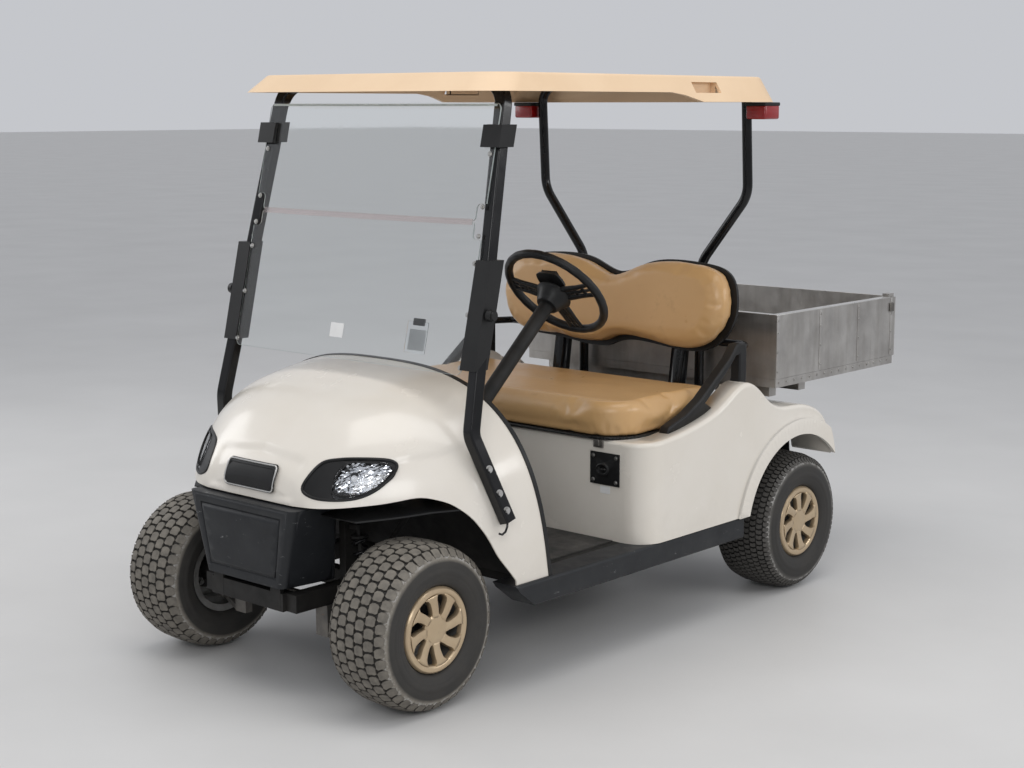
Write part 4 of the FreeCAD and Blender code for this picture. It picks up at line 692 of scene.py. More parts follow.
def cowl_row(station):
    """Half width, crown height and power of the cowl at a station, smooth between the CAD's sections."""
    rows = COWL_ROWS
    station = min(max(station, rows[0][0]), rows[-1][0])
    i = max(k for k in range(len(rows) - 1) if rows[k][0] <= station)
    a, b = rows[i], rows[i + 1]
    before = rows[i - 1] if i else a
    after = rows[i + 2] if i + 2 < len(rows) else b
    span = b[0] - a[0]
    t = (station - a[0]) / span
    out = []
    for k in (1, 2, 3):
        start = (b[k] - before[k]) / (b[0] - before[0]) * span
        end = (after[k] - a[k]) / (after[0] - a[0]) * span
        out.append((2 * t ** 3 - 3 * t ** 2 + 1) * a[k] + (t ** 3 - 2 * t ** 2 + t) * start
                   + (-2 * t ** 3 + 3 * t ** 2) * b[k] + (t ** 3 - t ** 2) * end)
    return out


def cowl_inside(x, station, z):
    if station < COWL_ROWS[0][0]:
        return False
    half, top, power = cowl_row(station)
    if z <= COWL_FLOOR:
        return abs(x) < half
    return (abs(x) / half) ** power + ((z - COWL_FLOOR) / (top - COWL_FLOOR)) ** power < 1


def halve(low, high, above):
    """The place between low and high where a test turns true, by halving."""
    for _ in range(30):
        middle = (low + high) / 2
        if above(middle):
            high = middle
        else:
            low = middle
    return low, high


def arch(half, top, power, count):
    """Evenly spaced (x, z) points over a superellipse arch."""
    steps = 900
    fine = []
    for i in range(steps + 1):
        c, s = math.cos(math.pi * i / steps), math.sin(math.pi * i / steps)
        fine.append((half * math.copysign(abs(c) ** (2 / power), c),
                     COWL_FLOOR + (top - COWL_FLOOR) * max(s, 0) ** (2 / power)))
    run = line_run(fine)
    out, k = [], 0
    for n in range(count + 1):
        want = run[-1] * n / count
        while k < steps - 1 and run[k + 1] < want:
            k += 1
        share = (want - run[k]) / max(run[k + 1] - run[k], 1e-9)
        out.append(tuple(p + (q - p) * share for p, q in zip(fine[k], fine[k + 1])))
    return out


def ease(low, high, value):
    t = min(max((value - low) / (high - low), 0.0), 1.0)
    return t * t * (3 - 2 * t)


def cowl_relief(x, station, z):
    """How far the hood sinks below the CAD's smooth form, in mm: the plate's recess and two side creases."""
    side = abs(x)
    front = 1 - ease(-120, -60, station)
    plate = ease(190, 150, side) * ease(548, 566, z) * ease(690 - 0.10 * side, 664 - 0.10 * side, z)
    crease = 664 + 0.16 * (station + 40)
    below = ease(crease + 4, crease - 7, z) * (1 - ease(0, 105, crease - z) * 0.85)
    fold = below * ease(330, 400, side) * ease(-90, -40, station) * (1 - ease(110, 235, station))
    shoulder = 0.30 * (z - 770) + side
    ridge = math.exp(-((shoulder - 372) / 16) ** 2) * ease(-20, 60, station) * (1 - ease(250, 330, station))
    return 6.5 * plate * front + 5.0 * fold - 1.6 * ridge


def smooth_loop(points, each=8):
    """A closed Catmull-Rom loop through 2-D points."""
    out = []
    count = len(points)
    for i in range(count):
        p0, p1, p2, p3 = (points[(i + k) % count] for k in (-1, 0, 1, 2))
        for n in range(each):
            t = n / each
            out.append(tuple(
                0.5 * (2 * p1[k] + (p2[k] - p0[k]) * t + (2 * p0[k] - 5 * p1[k] + 4 * p2[k] - p3[k]) * t * t
                       + (3 * p1[k] - p0[k] - 3 * p2[k] + p3[k]) * t ** 3) for k in (0, 1)))
    return out


def rounded_line(corners, radius=24.0):
    """The opening's upper corners rounded as the moulding is."""
    out = []
    for i, corner in enumerate(corners):
        if corner[1] <= 330 or i == 0:
            out.append(corner)
            continue
        here = Vector(corner)
        a, b = Vector(corners[i - 1]) - here, Vector(corners[(i + 1) % len(corners)]) - here
        reach = min(radius, a.length * 0.45, b.length * 0.45)
        start, end = here + a.normalized() * reach, here + b.normalized() * reach
        for t in (0, 0.25, 0.5, 0.75, 1):
            out.append(tuple(start * (1 - t) ** 2 + here * 2 * t * (1 - t) + end * t ** 2))
    return out


def lamp_point(side, u, v, w):
    """A point in the lamp's own plane: u outwards along it, v up, w out of it."""
    c, s = math.cos(LAMP_TURN), math.sin(LAMP_TURN)
    return P(side * (LAMP_CENTRE[0] + c * u + s * w), LAMP_CENTRE[1] + s * u - c * w, LAMP_CENTRE[2] + v)


def lamp_depth(u, v):
    """Where a line out of the lamp's plane leaves the cowl."""
    def outside(w):
        x, y, z = lamp_point(1, u, v, w) * 1000
        return not cowl_inside(x, y + MID_STATION, z)
    return halve(-120.0, 190.0, outside)[0]


def cut_with(piece, outline, direction):
    """Cuts away what an outline sweeps along a direction."""
    cutter = new_object("cutter", to_mesh("cutter", slab(outline, [p + direction for p in outline])))
    apply_modifier(piece, "BOOLEAN", operation="DIFFERENCE", solver="EXACT", object=cutter)
    bake(piece)
    bpy.data.objects.remove(cutter)


def build_cowl():
    stations = ([-188 + 2.5 * i for i in range(8)] + [-166 + 4.0 * i for i in range(20)]
                + [-84 + 7.0 * i for i in range(72)])
    rows = []
    for scale, s in ((0.0, -189.5), (0.25, -189.5), (0.5, -189.4), (0.72, -189.3), (0.88, -189.0),
                     (0.95, -188.8)):
        rows.append([(x * scale, s, 520 + (z - 520) * scale) for x, z in arch(238, 592, 3.0, COWL_CELLS)])
    for s in stations:
        rows.append([(x, s, z) for x, z in arch(*cowl_row(s), COWL_CELLS)])
    bm = bmesh.new()
    grid = [[bm.verts.new(P(*p)) for p in row] for row in rows]
    for here, there in zip(grid, grid[1:]):
        for k in range(COWL_CELLS):
            bm.faces.new((here[k], here[k + 1], there[k + 1], there[k]))
    bmesh.ops.remove_doubles(bm, verts=bm.verts, dist=0.00001)
    bm.normal_update()
    moves = []
    for v in bm.verts:
        x, s, z = v.co.x * 1000, v.co.y * 1000 + MID_STATION, v.co.z * 1000
        outward = v.normal if v.normal.dot(v.co - P(0, 150, 450)) > 0 else -v.normal
        moves.append((v, v.co - outward * cowl_relief(x, s, z) / 1000))
    for v, place in moves:
        v.co = place
    rear = Vector((0, 1, 0.158)).normalized()
    for at, normal, side in ((P(0, 0, 305.3), (0, 0, 1), "clear_inner"),
                             (P(0, 392, 332), rear, "clear_outer")):
        bmesh.ops.bisect_plane(bm, geom=bm.verts[:] + bm.edges[:] + bm.faces[:], plane_co=at, plane_no=normal,
                               **{side: True})
    for face in bm.faces:
        if face.normal.dot(face.calc_center_median() - P(0, 150, 400)) < 0:
            face.normal_flip()
    piece = finish_mesh("front_cowl_skin", to_mesh("front_cowl_skin", bm, False), WHITE)
    apply_modifier(piece, "SOLIDIFY", thickness=0.0046, offset=-1)
    bake(piece)
    cut_with(piece, [P(-700, s, z) for s, z in rounded_line(COWL_OPENING)], Vector((1.4, 0, 0)))
    for side, end in SIDES:
        outline = [lamp_point(side, u * 1.008, v * 1.015, -100) for u, v in smooth_loop(LAMP_OUTLINE)]
        cut_with(piece, outline, lamp_point(side, 0, 0, 260) - lamp_point(side, 0, 0, 0))
    piece.data.shade_smooth()
    piece.data.set_sharp_from_angle(angle=math.radians(38))
    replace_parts(piece, "front_cowl")


build_cowl()

# Lamps


def inside_loop(u, v, loop):
    hit = False
    for (u0, v0), (u1, v1) in zip(loop, loop[1:] + loop[:1]):
        if (v0 > v) != (v1 > v) and u < (u1 - u0) * (v - v0) / (v1 - v0) + u0:
            hit = not hit
    return hit


def lamp_patch(name, side, outline, inset, material, jitter, cells, seed):
    """A skin that follows the cowl inside a lamp outline; jitter breaks it into mirror facets."""
    rng = random.Random(seed)
    loop = smooth_loop(outline, 5)
    us, vs = zip(*loop)

    def at(i, k):
        return min(us) + (max(us) - min(us)) * i / cells, min(vs) + (max(vs) - min(vs)) * k / cells

    bm = bmesh.new()
    grid = {}
    for i in range(cells + 1):
        for k in range(cells + 1):
            u, v = at(i, k)
            w = lamp_depth(u, v) - inset + rng.uniform(-jitter, jitter)
            u += rng.uniform(-jitter, jitter) * 0.4
            v += rng.uniform(-jitter, jitter) * 0.4
            grid[i, k] = bm.verts.new(lamp_point(side, u, v, w))
    for i in range(cells):
        for k in range(cells):
            if inside_loop(*at(i + 0.5, k + 0.5), loop):
                a, b, c, d = grid[i, k], grid[i + 1, k], grid[i + 1, k + 1], grid[i, k + 1]
                bm.faces.new((a, b, c))
                bm.faces.new((a, c, d))
    bmesh.ops.delete(bm, geom=[v for v in bm.verts if not v.link_faces], context="VERTS")
    piece = from_bmesh(name, bm, material)
    piece.data.shade_flat()
    apply_modifier(piece, "SOLIDIFY", thickness=0.0015, offset=-1)
    bake(piece)


def shrink(outline, amount):
    cu, cv = (sum(values) / len(outline) for values in zip(*outline))
    return [(cu + (u - cu) * amount, cv + (v - cv) * amount) for u, v in outline]


for side, end in SIDES:
    lamp_patch("lamp_facets_" + end, side, shrink(LENS_OUTLINE, 0.93), 22, CHROME, 3.4, 19, 5)
    lamp_patch("lamp_bowl_" + end, side, shrink(LENS_OUTLINE, 0.98), 31, DARK_VOID, 0.5,
               14, 2)
    for name, outline, radius, lift in (("bezel_", shrink(LAMP_OUTLINE, 0.985), 0.0042, -1.0),
                                        ("lens_rim_", shrink(LENS_OUTLINE, 1.0), 0.0022, 1.6)):
        points = [lamp_point(side, u, v, lamp_depth(u, v) + lift) for u, v in smooth_loop(outline)]
        tube("lamp_" + name + end, points, radius, BLACK_PLASTIC, True, 8)
    bulb = bmesh.new()
    out = lamp_point(side, 0, 0, 1) - lamp_point(side, 0, 0, 0)
    cone(bulb, aim(lamp_point(side, 14, -2, lamp_depth(14, -2) - 17), out), 0.015, 0.009, 0.012, 24)
    from_bmesh("lamp_bulb_" + end, bulb, CHROME)

# Plate frame


def plate_loop(half, low, high, corner, lift):
    """A rounded rectangle laid on the cowl's nose, with its points a few mm apart."""
    def on_nose(x, z):
        return P(x, halve(-230.0, 60.0, lambda s: cowl_inside(x, s, z))[1] - lift, z)

    points = []
    for sx, z, start in ((1, high - corner, 0), (-1, high - corner, 90), (-1, low + corner, 180),
                         (1, low + corner, 270)):
        for n in range(7):
            a = math.radians(start + 15 * n)
            points.append(on_nose(sx * (half - corner) + corner * math.cos(a), z + corner * math.sin(a)))
    dense = []
    for p, q in zip(points, points[1:] + points[:1]):
        count = max(1, int((q - p).length / 0.012))
        for n in range(count):
            at = p.lerp(q, n / count)
            dense.append(on_nose(at.x * 1000, at.z * 1000))
    return dense


tube("plate_rim", plate_loop(100, 569, 638, 12, 3.2), 0.0024, BRIGHT_ALU, True, 8)
tube("plate_inner_line", plate_loop(92, 577, 630, 8, 3.0), 0.0011, BLACK_PLASTIC, True, 8)

# Windshield, which lies on the front struts

STRUT_FOOT, STRUT_BEND, STRUT_TOP = Vector((588, 215, 495)), Vector((515, 150, 730)), Vector((452, 352, 1610))
GLASS_LEAN = (STRUT_TOP.y - STRUT_BEND.y) / (STRUT_TOP.z - STRUT_BEND.z)
PANE_HALF = 467.5
NOTCH = 46.0                 # height of a clip's notch in a pane's corner


def glass_station(z):
    return STRUT_BEND.y + (z - STRUT_BEND.z) * GLASS_LEAN - 18 * math.hypot(1, GLASS_LEAN) - 2.6


def pane_outline(z0, z1, notch_low, notch_high):
    """An upright pane with rounded corners, notched where the clips sit."""
    def corner(sx, z, up, notched):
        def arc(x, height, rx, rz, count):
            """Quarter turn from straight out to straight up, as offsets from the corner."""
            return [(sx * (PANE_HALF + x + rx * math.cos(a)), z + up * (height + rz * math.sin(a)))
                    for a in (math.radians(90 * n / count) for n in range(count + 1))]
        if not notched:
            return arc(-20, -20, 20, 20, 6)
        rise = [(sx * (PANE_HALF - 20 - 12 * math.sin(a)), z - up * (NOTCH - 12) - up * 12 * math.cos(a))
                for a in (math.radians(90 * n / 5) for n in range(6))]
        return [(sx * PANE_HALF, z - up * NOTCH)] + rise + arc(-42, -10, 10, 10, 5)

    return (corner(1, z1, 1, notch_high) + corner(-1, z1, 1, notch_high)[::-1]
            + corner(-1, z0, -1, notch_low) + corner(1, z0, -1, notch_low)[::-1])


for place, z0, z1, notch_low, notch_high in (("lower", 885, 1288, False, True),
                                             ("upper", 1292, 1606, True, False)):
    outline = pane_outline(z0, z1, notch_low, notch_high)
    sheet = slab(*([P(x, glass_station(z) - lift, z) for x, z in outline] for lift in (4.8, 0.2)))
    piece = from_bmesh("windshield_%s_sheet" % place, sheet, ACRYLIC, smooth=30)
    # The narrow edge faces take the frosted edge finish, partly a painted highlight of the bright edges.
    piece.data.materials.append(FROSTED_EDGE_HIGHLIGHT)
    for polygon in piece.data.polygons:
        polygon.material_index = 0 if polygon.area > 0.05 else 1
    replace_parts(piece, "windshield_" + place)

for name, half, middle, z0, z1, thickness, material, bow in (
    ("hinge_film", 428, 0, 1281, 1297, 0.8, PINK_STRIP, 1.5),
    # A frosted strip along the top edge of the upper pane: a painted highlight of its bright edge.
    ("top_bead", 455, 0, 1597, 1603, 2.0, FROSTED_EDGE_HIGHLIGHT, 0.5),
    ("sticker", 27, -35, 944, 984, 0.5, LABEL, 0.0),
):
    strip = [(middle - half + half * i / 12, bow * math.sin(math.pi * i / 24)) for i in range(25)]
    outline = [(x, z0 - sag) for x, sag in strip] + [(x, z1 - sag) for x, sag in strip[::-1]]
    sheet = slab(*([P(x, glass_station(z) - 5.2 - lift, z) for x, z in outline] for lift in (0.0, thickness)))
    from_bmesh("windshield_" + name, sheet, material, smooth=30)
bm = bmesh.new()
for side, end in SIDES:
    for z in (905, 1045, 1180, 1252, 1330, 1470, 1505, 1535):
        x = min(STRUT_TOP.x + 14 * (STRUT_TOP.z - z) / 880, 462)
        bolt(bm, P(side * x, glass_station(z) - 5.2, z), (0, -1, 0.2), 0.005, 0.004)
from_bmesh("windshield_screws", bm, BOLT)

# Card holder behind the lower pane, with its clip

CARD, CLIP = glass_station(965), glass_station(1012)
LEAN = -math.atan(GLASS_LEAN)
bevelled("card_sleeve", (238, CARD + 3, 925), (318, CARD + 5, 1012), 0.8, LENS, 1, lean=LEAN)
bevelled("card_blank", (246, CARD + 6, 932), (310, CARD + 6.8, 990), 0.3, LABEL, 1, lean=LEAN)
bevelled("card_clip", (258, CLIP + 1, 1000), (300, CLIP + 9, 1020), 2, BLACK_PLASTIC, 2, lean=LEAN)

# Strut feet: bolts, the small hook below and the knob that holds the lower pane

for side, end in SIDES:
    bm = bmesh.new()
    for share in (0.14, 0.34, 0.62):
        at = STRUT_FOOT.lerp(STRUT_BEND, share)
        bolt(bm, P(side * (at.x + 17), at.y - 4, at.z), (side, -0.25, 0.15), 0.0075, 0.006)
    from_bmesh("strut_foot_bolts_" + end, bm, BOLT)
    hook = [P(side * x, s, z) for x, s, z in ((590, 212, 500), (592, 208, 482), (593, 200, 470),
                                              (592, 188, 464), (590, 178, 468))]
    tube("strut_foot_hook_" + end, hook, 0.0032, BLACK_PAINT, False, 8)
    knob = bmesh.new()
    at = STRUT_BEND.lerp(STRUT_TOP, 0.36)
    for radius, depth, shift in ((0.007, 0.020, 0.002), (0.017, 0.016, 0.016), (0.013, 0.004, 0.026)):
        cone(knob, aim(P(side * (at.x + 26), at.y - 12, at.z), (side, 0, 0)), radius, radius * 0.92, depth,
             28, shift)
    from_bmesh("windshield_knob_" + end, knob, BLACK_PLASTIC)

# Steering wheel

TURN = next(joint for joint in frame["joints"] if joint["name"] == "steering_wheel_turn")
HUB = Vector(TURN["pos_m"])
AXIS = Vector(TURN["axis"]).normalized()
UP = Vector((0, -AXIS.z, AXIS.y))
GRIP_R, SECTION_R = 161.5, 13.2
SPOKE_FROM, SPOKE_TO = 46, 159
HUB_PROFILE = ((20, 2), (34, 0), (47, -5), (56, -11), (57, -15), (54, -18), (50, -22), (44, -34), (38, -48),
               (33, -57),
               (25, -58.5), (13, -58.5))
CLIP_BASE = ((-46, 22), (-42, 66), (-20, 76), (20, 76), (42, 66), (46, 22), (24, 14), (-24, 14))


def wheel_place(x, y, w):
    """A steering wheel point: x across, y up the wheel, w towards the driver, in mm."""
    return HUB + (Vector((1, 0, 0)) * x + UP * y + AXIS * w) / 1000


def round_bar(bm, line, sides):
    """An oval bar through (middle, across, half width, half depth, w) stations of the wheel."""
    rings = []
    for middle, across, wide, deep, w in line:
        spots = [(middle + across * wide * math.cos(b),
                  w + deep * math.sin(b)) for b in (TAU * k / sides for k in range(sides))]
        rings.append([bm.verts.new(wheel_place(p.x, p.y, height)) for p, height in spots])
    bridge(bm, rings)


def steering():
    def piece(name, bm, smooth=60):
        return from_bmesh("steering_" + name, bm, BLACK_PLASTIC, "steering", smooth)

    bm = bmesh.new()
    around, section = 120, 16
    rings = []
    for i in range(around):
        a = TAU * i / around
        thick = SECTION_R * (1.0 - 0.10 * max(0, math.cos(a * 24)) * 0.5)
        ring = []
        for b in (TAU * k / section for k in range(section)):
            r = GRIP_R + thick * math.cos(b)
            ring.append(bm.verts.new(wheel_place(r * math.cos(a), r * math.sin(a), thick * math.sin(b))))
        rings.append(ring)
    bridge(bm, rings, True)
    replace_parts(piece("grip", bm), "steering_wheel")

    bm = bmesh.new()
    for turn in (10, 170, 270):
        out = Vector((math.cos(math.radians(turn)), math.sin(math.radians(turn))))
        wide = Vector((-out.y, out.x))
        for lane in (-1, 0, 1):
            line = []
            for share in (n / 12 for n in range(13)):
                spread = (17.0 + 5.0 * abs(share - 0.5) * 2 * share) * lane
                thick = (6.6 if lane else 4.6) * (1 + 0.5 * (1 - share))
                middle = out * (SPOKE_FROM + (SPOKE_TO - SPOKE_FROM) * share) + wide * spread
                line.append((middle, wide, thick, thick * 0.8, -9 * (1 - share) - 2))
            round_bar(bm, line, 10)
        for share in (0.12, 0.40, 0.68, 0.93):
            r = SPOKE_FROM + (SPOKE_TO - SPOKE_FROM) * share
            round_bar(bm, [(out * r + wide * (-17 + 34 * n / 6), out, 7.0, 3.4,
                            -9 * (1 - share) - 2) for n in range(7)], 8)
    piece("spokes", bm)

    bm = bmesh.new()
    turns = [TAU * k / 64 for k in range(64)]
    rings = [[bm.verts.new(wheel_place(r * math.cos(a), r * math.sin(a),
                                       w)) for a in turns] for r, w in HUB_PROFILE]
    bridge(bm, rings)
    bm.faces.new(rings[0])
    piece("hub", bm, 40)

    outline = smooth_loop(CLIP_BASE, 5)
    piece("clip_base", slab([wheel_place(x, y, 3) for x, y in outline],
                            [wheel_place(x * 0.93, 45 + (y - 45) * 0.93, 12) for x, y in outline]), 50)
    for n, y in enumerate((30, 62)):
        bm = bmesh.new()
        bmesh.ops.create_cube(bm, size=1.0)
        for v in bm.verts:
            v.co = wheel_place(v.co.x * (66 - 12 * n), y + v.co.y * 13, 15 + v.co.z * (7 + 3 * n))
        bmesh.ops.bevel(bm, geom=bm.edges[:], offset=0.0024, segments=3, profile=0.5, affect="EDGES")
        piece("clip_bar_%d" % n, bm, 40)


steering()

# Front axle: springs and dampers, track rod boots, brake hoses and the tray above


def coil(name, lower, upper, radius, wire, turns, material, first=0.12, last=0.88):
    low, high = P(*lower), P(*upper)
    axis = (high - low).normalized()
    side = axis.orthogonal().normalized()
    other = axis.cross(side)
    points = []
    count = int(turns * 28)
    for share in (i / count for i in range(count + 1)):
        a = TAU * turns * share
        along = (high - low).length * (first + (last - first) * share)
        points.append(low + axis * along + (side * math.cos(a) + other * math.sin(a)) * radius / 1000)
    tube(name, points, wire / 1000, material)


for side, end in SIDES:
    low, high = Vector((side * 242, 16, 178)), Vector((side * 217, 14, 460))
    bm = bmesh.new()
    for start, stop, radius in ((0.0, 0.55, 11), (0.50, 1.0, 6), (0.10, 0.12, 23), (0.885, 0.905, 23),
                                (0.0, 0.035, 14)):
        rod(bm, low.lerp(high, start), low.lerp(high, stop), radius)
    damper = from_bmesh("damper_" + end, bm, DARK_VOID)
    if side == 1:
        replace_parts(damper, "front_shocks")
    coil("damper_spring_" + end, low, high, 18.5, 4.2, 7, BLACK_PAINT)
    bevelled("damper_bracket_" + end, (side * 183.4, 5, 449), (side * 222, 23, 463.5), 2, FRAME_PAINT)
    bm = bmesh.new()
    for n in range(9):
        x = side * (352 - 4 * n)
        rod(bm, (x, 60, 204), (x - side * 2.2, 60, 204), 11.5 - 0.2 * n, 9.5 - 0.2 * n, 24)
    from_bmesh("track_rod_boot_" + end, bm, BLACK_PLASTIC, "track_rod")
    hose = [P(side * x, s, z) for x, s, z in ((196, 60, 300), (232, 40, 318), (268, 18, 322), (306, 2, 300),
                                              (330, -6, 268))]
    tube("brake_hose_" + end, hose, 0.0042, BLACK_PLASTIC)
bevelled("bumper_under_tray", (-150, -196, 317), (150, -34, 320), 1.2, BLACK_PLASTIC, 2)

# Seat box: charge socket, its blank label and the seat's latch

BOX_FACE = 820               # station of the seat box's front
SOCKET_X, SOCKET_Z = 440, 523
ring = [P(SOCKET_X + 21 * math.cos(a), BOX_FACE - 15.5,
          SOCKET_Z + 15 * math.sin(a)) for a in (TAU * k / 40 for k in range(40))]
tube("charge_socket_ring", ring, 0.0035, BLACK_PLASTIC, True)
bm = bmesh.new()
for x, z in ((397, 486), (483, 486), (397, 560), (483, 560)):
    bolt(bm, P(x, BOX_FACE - 4.6, z), (0, -1, 0), 0.0045, 0.003, 12)
for dx in (-7, 0, 7):
    rod(bm, (SOCKET_X + dx, BOX_FACE - 13, SOCKET_Z), (SOCKET_X + dx, BOX_FACE - 4, SOCKET_Z), 1.8, None, 12)
from_bmesh("charge_plate_screws", bm, BOLT)
bevelled("charge_label", (421, BOX_FACE - 0.8, 447), (459, BOX_FACE + 0.4, 470), 0.4, LABEL, 1)
bevelled("seat_latch_plate", (398, BOX_FACE - 7.5, 586), (434, BOX_FACE - 0.8, 606), 1.5, STEEL)
bevelled("seat_latch_tongue", (408, BOX_FACE - 14, 592), (424, BOX_FACE - 6.5, 611), 1.5, STEEL)

# Roof: the moulded pockets behind its two grip holes, as a back, a top, a bottom and two ends

POCKET_WALLS = (
    ((484, 1126, 1633), (487, 1266, 1671)), ((484, 1126, 1668), (501, 1266, 1671)),
                ((484, 1126, 1633), (513, 1266, 1636)),
    ((484, 1126, 1633), (503, 1129, 1671)), ((484, 1263, 1633), (503, 1266, 1671)),
)
for side, end in SIDES:
    bm = bmesh.new()
    for low, high in POCKET_WALLS:
        a, b = (P(side * x, s, z) for x, s, z in (low, high))
        size = Vector((*(abs(d) for d in b - a), 1.0))
        bmesh.ops.create_cube(bm, size=1.0, matrix=Matrix.Translation((a + b) / 2) @ Matrix.Diagonal(size))
    from_bmesh("roof_grip_pocket_" + end, bm, TAN_ROOF, smooth=30)

# Tail lamps: a dark base and a ribbed red lens

for side, end in SIDES:
    lens = bevelled("tail_lens_" + end, (side * 454, 1504, 1555), (side * 530, 1586, 1600), 7, RED, 4)
    if side == 1:
        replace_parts(lens, "tail_lamps")
    bevelled("tail_base_" + end, (side * 453, 1501, 1597), (side * 531, 1587, 1608.5), 3, BLACK_PLASTIC)
    for n in range(6):
        z = 1563 + 6.2 * n
        bevelled("tail_rib_%s_%d" % (end, n), (side * 460, 1584.5, z), (side * 524, 1587.2, z + 2.4), 0.8,
                 RED, 2)

# Bed: folded lips, corner posts, seams, rivets and latches

LIP_Z, BED_FRONT, BED_REAR = 922, 1592, 2322
BED_OUTER, BED_INNER = 535, 507
FOLDS = (1600, 1862, 2110, 2336)


def rivets(name, places, direction, radius, height, bm=None):
    bm = bm or bmesh.new()
    for place in places:
        bolt(bm, P(*place), direction, radius, height, 12)
    return from_bmesh(name, bm, BOLT, "gate" if name.startswith("gate") else "cart") if name else bm


for side, end in SIDES:
    outer, inner, hem = side * BED_OUTER, side * BED_INNER, side * (BED_INNER - 2.2)
    bevelled("bed_side_lip_" + end, (outer, BED_FRONT, LIP_Z - 0.5), (inner, BED_REAR, LIP_Z + 2.2), 1.0,
             BRIGHT_ALU, 2)
    bevelled("bed_side_hem_" + end, (inner, 1604, LIP_Z - 13), (hem, BED_REAR, LIP_Z + 1.5), 0.8,
             BRIGHT_ALU, 2)
    for n, s in enumerate(FOLDS):
        bevelled("bed_side_fold_%s_%d" % (end, n), (outer, s - 8, 716), (outer + side * 1.6, s + 8, 919),
                 0.7, ALUMINIUM, 2)
    floor_row = rivets(None, [(side * 535.2, 1612 + 47 * n, 699) for n in range(16)], (side, 0, 0), 0.0038,
                       0.0022)
    rivets("bed_rivets_" + end, [(side * 536.6, s, z) for s in FOLDS for z in (735, 800, 865, 905)],
           (side, 0, 0),
           0.0034, 0.002, floor_row)
    bevelled("bed_catch_" + end, (side * 536, 2318, 872), (side * 541, 2346, 902), 1.5, STEEL)
bevelled("bed_front_lip", (-BED_INNER, BED_FRONT, LIP_Z - 0.5), (BED_INNER, 1618, LIP_Z + 2.2), 1.0,
         BRIGHT_ALU, 2)
rivets("bed_floor_rivets", [(x, 1660 + 78 * n, 715.2) for n in range(9) for x in (-420, -210, 0, 210, 420)],
       (0, 0, 1),
       0.004, 0.002)
bevelled("gate_top_hem", (-500, 2350.5, LIP_Z - 1), (500, 2363.2, LIP_Z + 2.0), 1.0, BRIGHT_ALU, 2, "gate")
for n, x in enumerate((-320, 0, 320)):
    bevelled("gate_stiffener_%d" % n, (x - 18, 2362.6, 735), (x + 18, 2365.6, 908), 1.4, ALUMINIUM, 2, "gate")
rivets("gate_hinge_rivets", [(x + dx, 2367.2, 728) for x in (-400, 0, 400) for dx in (-8, 8)], (0, 1, 0),
       0.004, 0.0025)

# Cushions


def padded_form(name, node, cap=0.012, pressure=3.0, shrink=0.992, voxel=0.006):
    """A swollen cushion made from the CAD form by a cloth simulation, moved by cap metres at most."""
    mesh = NODES[node].data.copy()
    piece = new_object(name, mesh)
    low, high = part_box(node)
    middle = (low + high) / 2
    mesh.transform(Matrix.Translation(middle) @ Matrix.Scale(shrink, 4) @ Matrix.Translation(-middle))
    apply_modifier(piece, "REMESH", mode="VOXEL", voxel_size=voxel)
    bake(piece)
    rest = [v.co.copy() for v in piece.data.vertices]
    cloth = piece.modifiers.new("cloth", "CLOTH")
    for key, value in dict(quality=4, mass=0.3, use_pressure=True, uniform_pressure_force=pressure,
                           tension_stiffness=18, compression_stiffness=12, bending_stiffness=3).items():
        setattr(cloth.settings, key, value)
    cloth.settings.effector_weights.gravity = 0
    cloth.point_cache.frame_start = 1
    cloth.point_cache.frame_end = 20
    for step in range(1, 21):
        bpy.context.scene.frame_set(step)
    bake(piece)
    bpy.context.scene.frame_set(1)
    for vertex, start in zip(piece.data.vertices, rest):
        move = vertex.co - start
        if move.length > cap:
            vertex.co = start + move.normalized() * cap
    return piece


def finish_cushion(piece, node, body, margin):
    """Keeps a soft form within its CAD solid's box grown by a margin, then smooths and dresses it."""
    low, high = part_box(node)
    for vertex in piece.data.vertices:
        for axis in range(3):
            vertex.co[axis] = min(max(vertex.co[axis], low[axis] - margin), high[axis] + margin)
    apply_modifier(piece, "SMOOTH", factor=0.5, iterations=6)
    apply_modifier(piece, "SUBSURF", levels=1, render_levels=1)
    bake(piece)
    paint(piece.data, VINYL)
    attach(piece, body)
    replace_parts(piece, node)


def groove(piece, distance, depth, width, keep):
    """Presses a seam into a mesh where distance(co) is near zero."""
    normals = [v.normal.copy() for v in piece.data.vertices]
    for vertex, normal in zip(piece.data.vertices, normals):
        if keep(vertex.co):
            vertex.co = vertex.co - normal * depth * math.exp(-(distance(vertex.co) / width) ** 2)


seat = padded_form("seat_cushion_padded", "seat_cushion")
seat_low, seat_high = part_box("seat_cushion")
for vertex in seat.data.vertices:
    co = vertex.co
    if co.z < seat_low.z + 0.006:
        co.z = seat_low.z + 0.0005
    across = co.x / 0.5
    along = (co.y - seat_low.y) / (seat_high.y - seat_low.y)
    if co.z > seat_low.z + 0.06:
        co.z -= 0.010 * math.exp(-((along - 0.62) / 0.25) ** 2) * (1 - across * across * 0.8)
        co.z -= 0.012 * max(0, (along - 0.86) / 0.14) ** 2
finish_cushion(seat, "seat_cushion", "seat_bottom", 0.004)
groove(seat, lambda co: co.y - (seat_low.y + 0.055), 0.0022, 0.004,
       lambda co: co.z > seat_high.z - 0.035 and abs(co.x) < 0.43)
finish_cushion(padded_form("seat_back_padded", "seat_back"), "seat_back", "cart", 0.003)

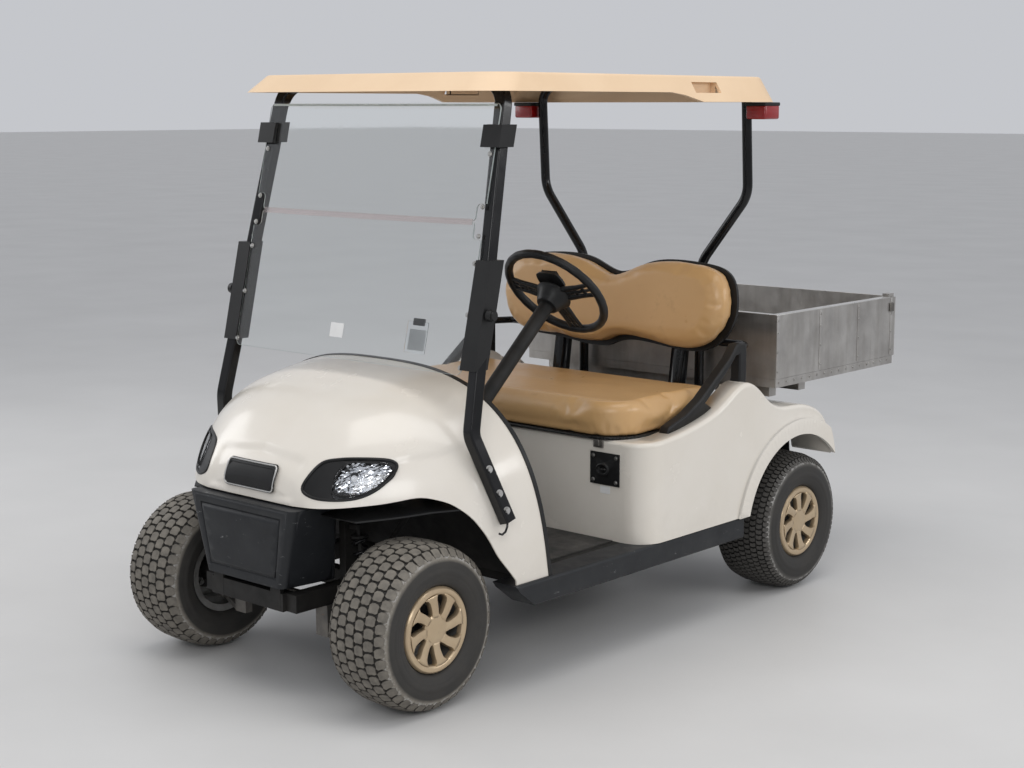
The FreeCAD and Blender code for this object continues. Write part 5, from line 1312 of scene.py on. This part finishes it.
# Floor, light and camera

floor_mesh = bpy.data.meshes.new("floor")
floor_mesh.from_pydata([(-90, -90, 0), (90, -90, 0), (90, 90, 0), (-90, 90, 0)], [], [(0, 1, 2, 3)])
floor = new_object("floor", floor_mesh)
m = Finish("pale_floor")
floor_mesh.materials.append(m.set({
    "Base Color": m.ramp(m.noise(1.2, 5.0), (0.3, (0.60, 0.595, 0.585)), (0.8, (0.66, 0.655, 0.645))),
                                   "Roughness": 0.5}))

scene = bpy.context.scene
scene.world = bpy.data.worlds.new("studio")
scene.world.use_nodes = True
background = scene.world.node_tree.nodes["Background"]
background.inputs["Color"].default_value = (0.93, 0.95, 1.0, 1)
background.inputs["Strength"].default_value = 0.60

for name, place, target, power, width, height, colour in (
    ("overhead", (0.6, -0.8, 5.2), (0, 0, 0.6), 105, 5.0, 3.0, (1.0, 0.98, 0.95)),
    ("front_fill", (3.4, -4.6, 3.0), (0, -0.4, 0.7), 52, 2.6, 1.6, (1, 1, 1)),
    ("left_strip", (4.6, 1.6, 2.6), (0, 0.2, 0.8), 46, 3.2, 0.8, (1, 1, 1)),
    ("far_fill", (-4.4, -1.8, 2.6), (0, 0, 0.8), 34, 2.4, 2.0, (1, 1, 1)),
):
    data = bpy.data.lights.new(name, "AREA")
    data.shape = "RECTANGLE"
    data.size, data.size_y, data.energy, data.color = width, height, power, colour
    light = new_object(name, data)
    light.location = place
    light.rotation_euler = (Vector(target) - Vector(place)).to_track_quat("-Z", "Y").to_euler()

FOCAL_PX, PHOTO_WIDTH_PX, SENSOR = 1728.6, 1024, 36        # focal length as solved from the photograph
camera_data = bpy.data.cameras.new("camera")
camera_data.sensor_width = SENSOR
camera_data.lens = FOCAL_PX / PHOTO_WIDTH_PX * SENSOR
scene.camera = new_object("camera", camera_data)
scene.camera.location = (3.602, -4.238, 1.598)
scene.camera.rotation_euler = Vector((-0.6555, 0.7383, -0.1590)).to_track_quat("-Z", "Y").to_euler()
scene.view_settings.view_transform = "Standard"
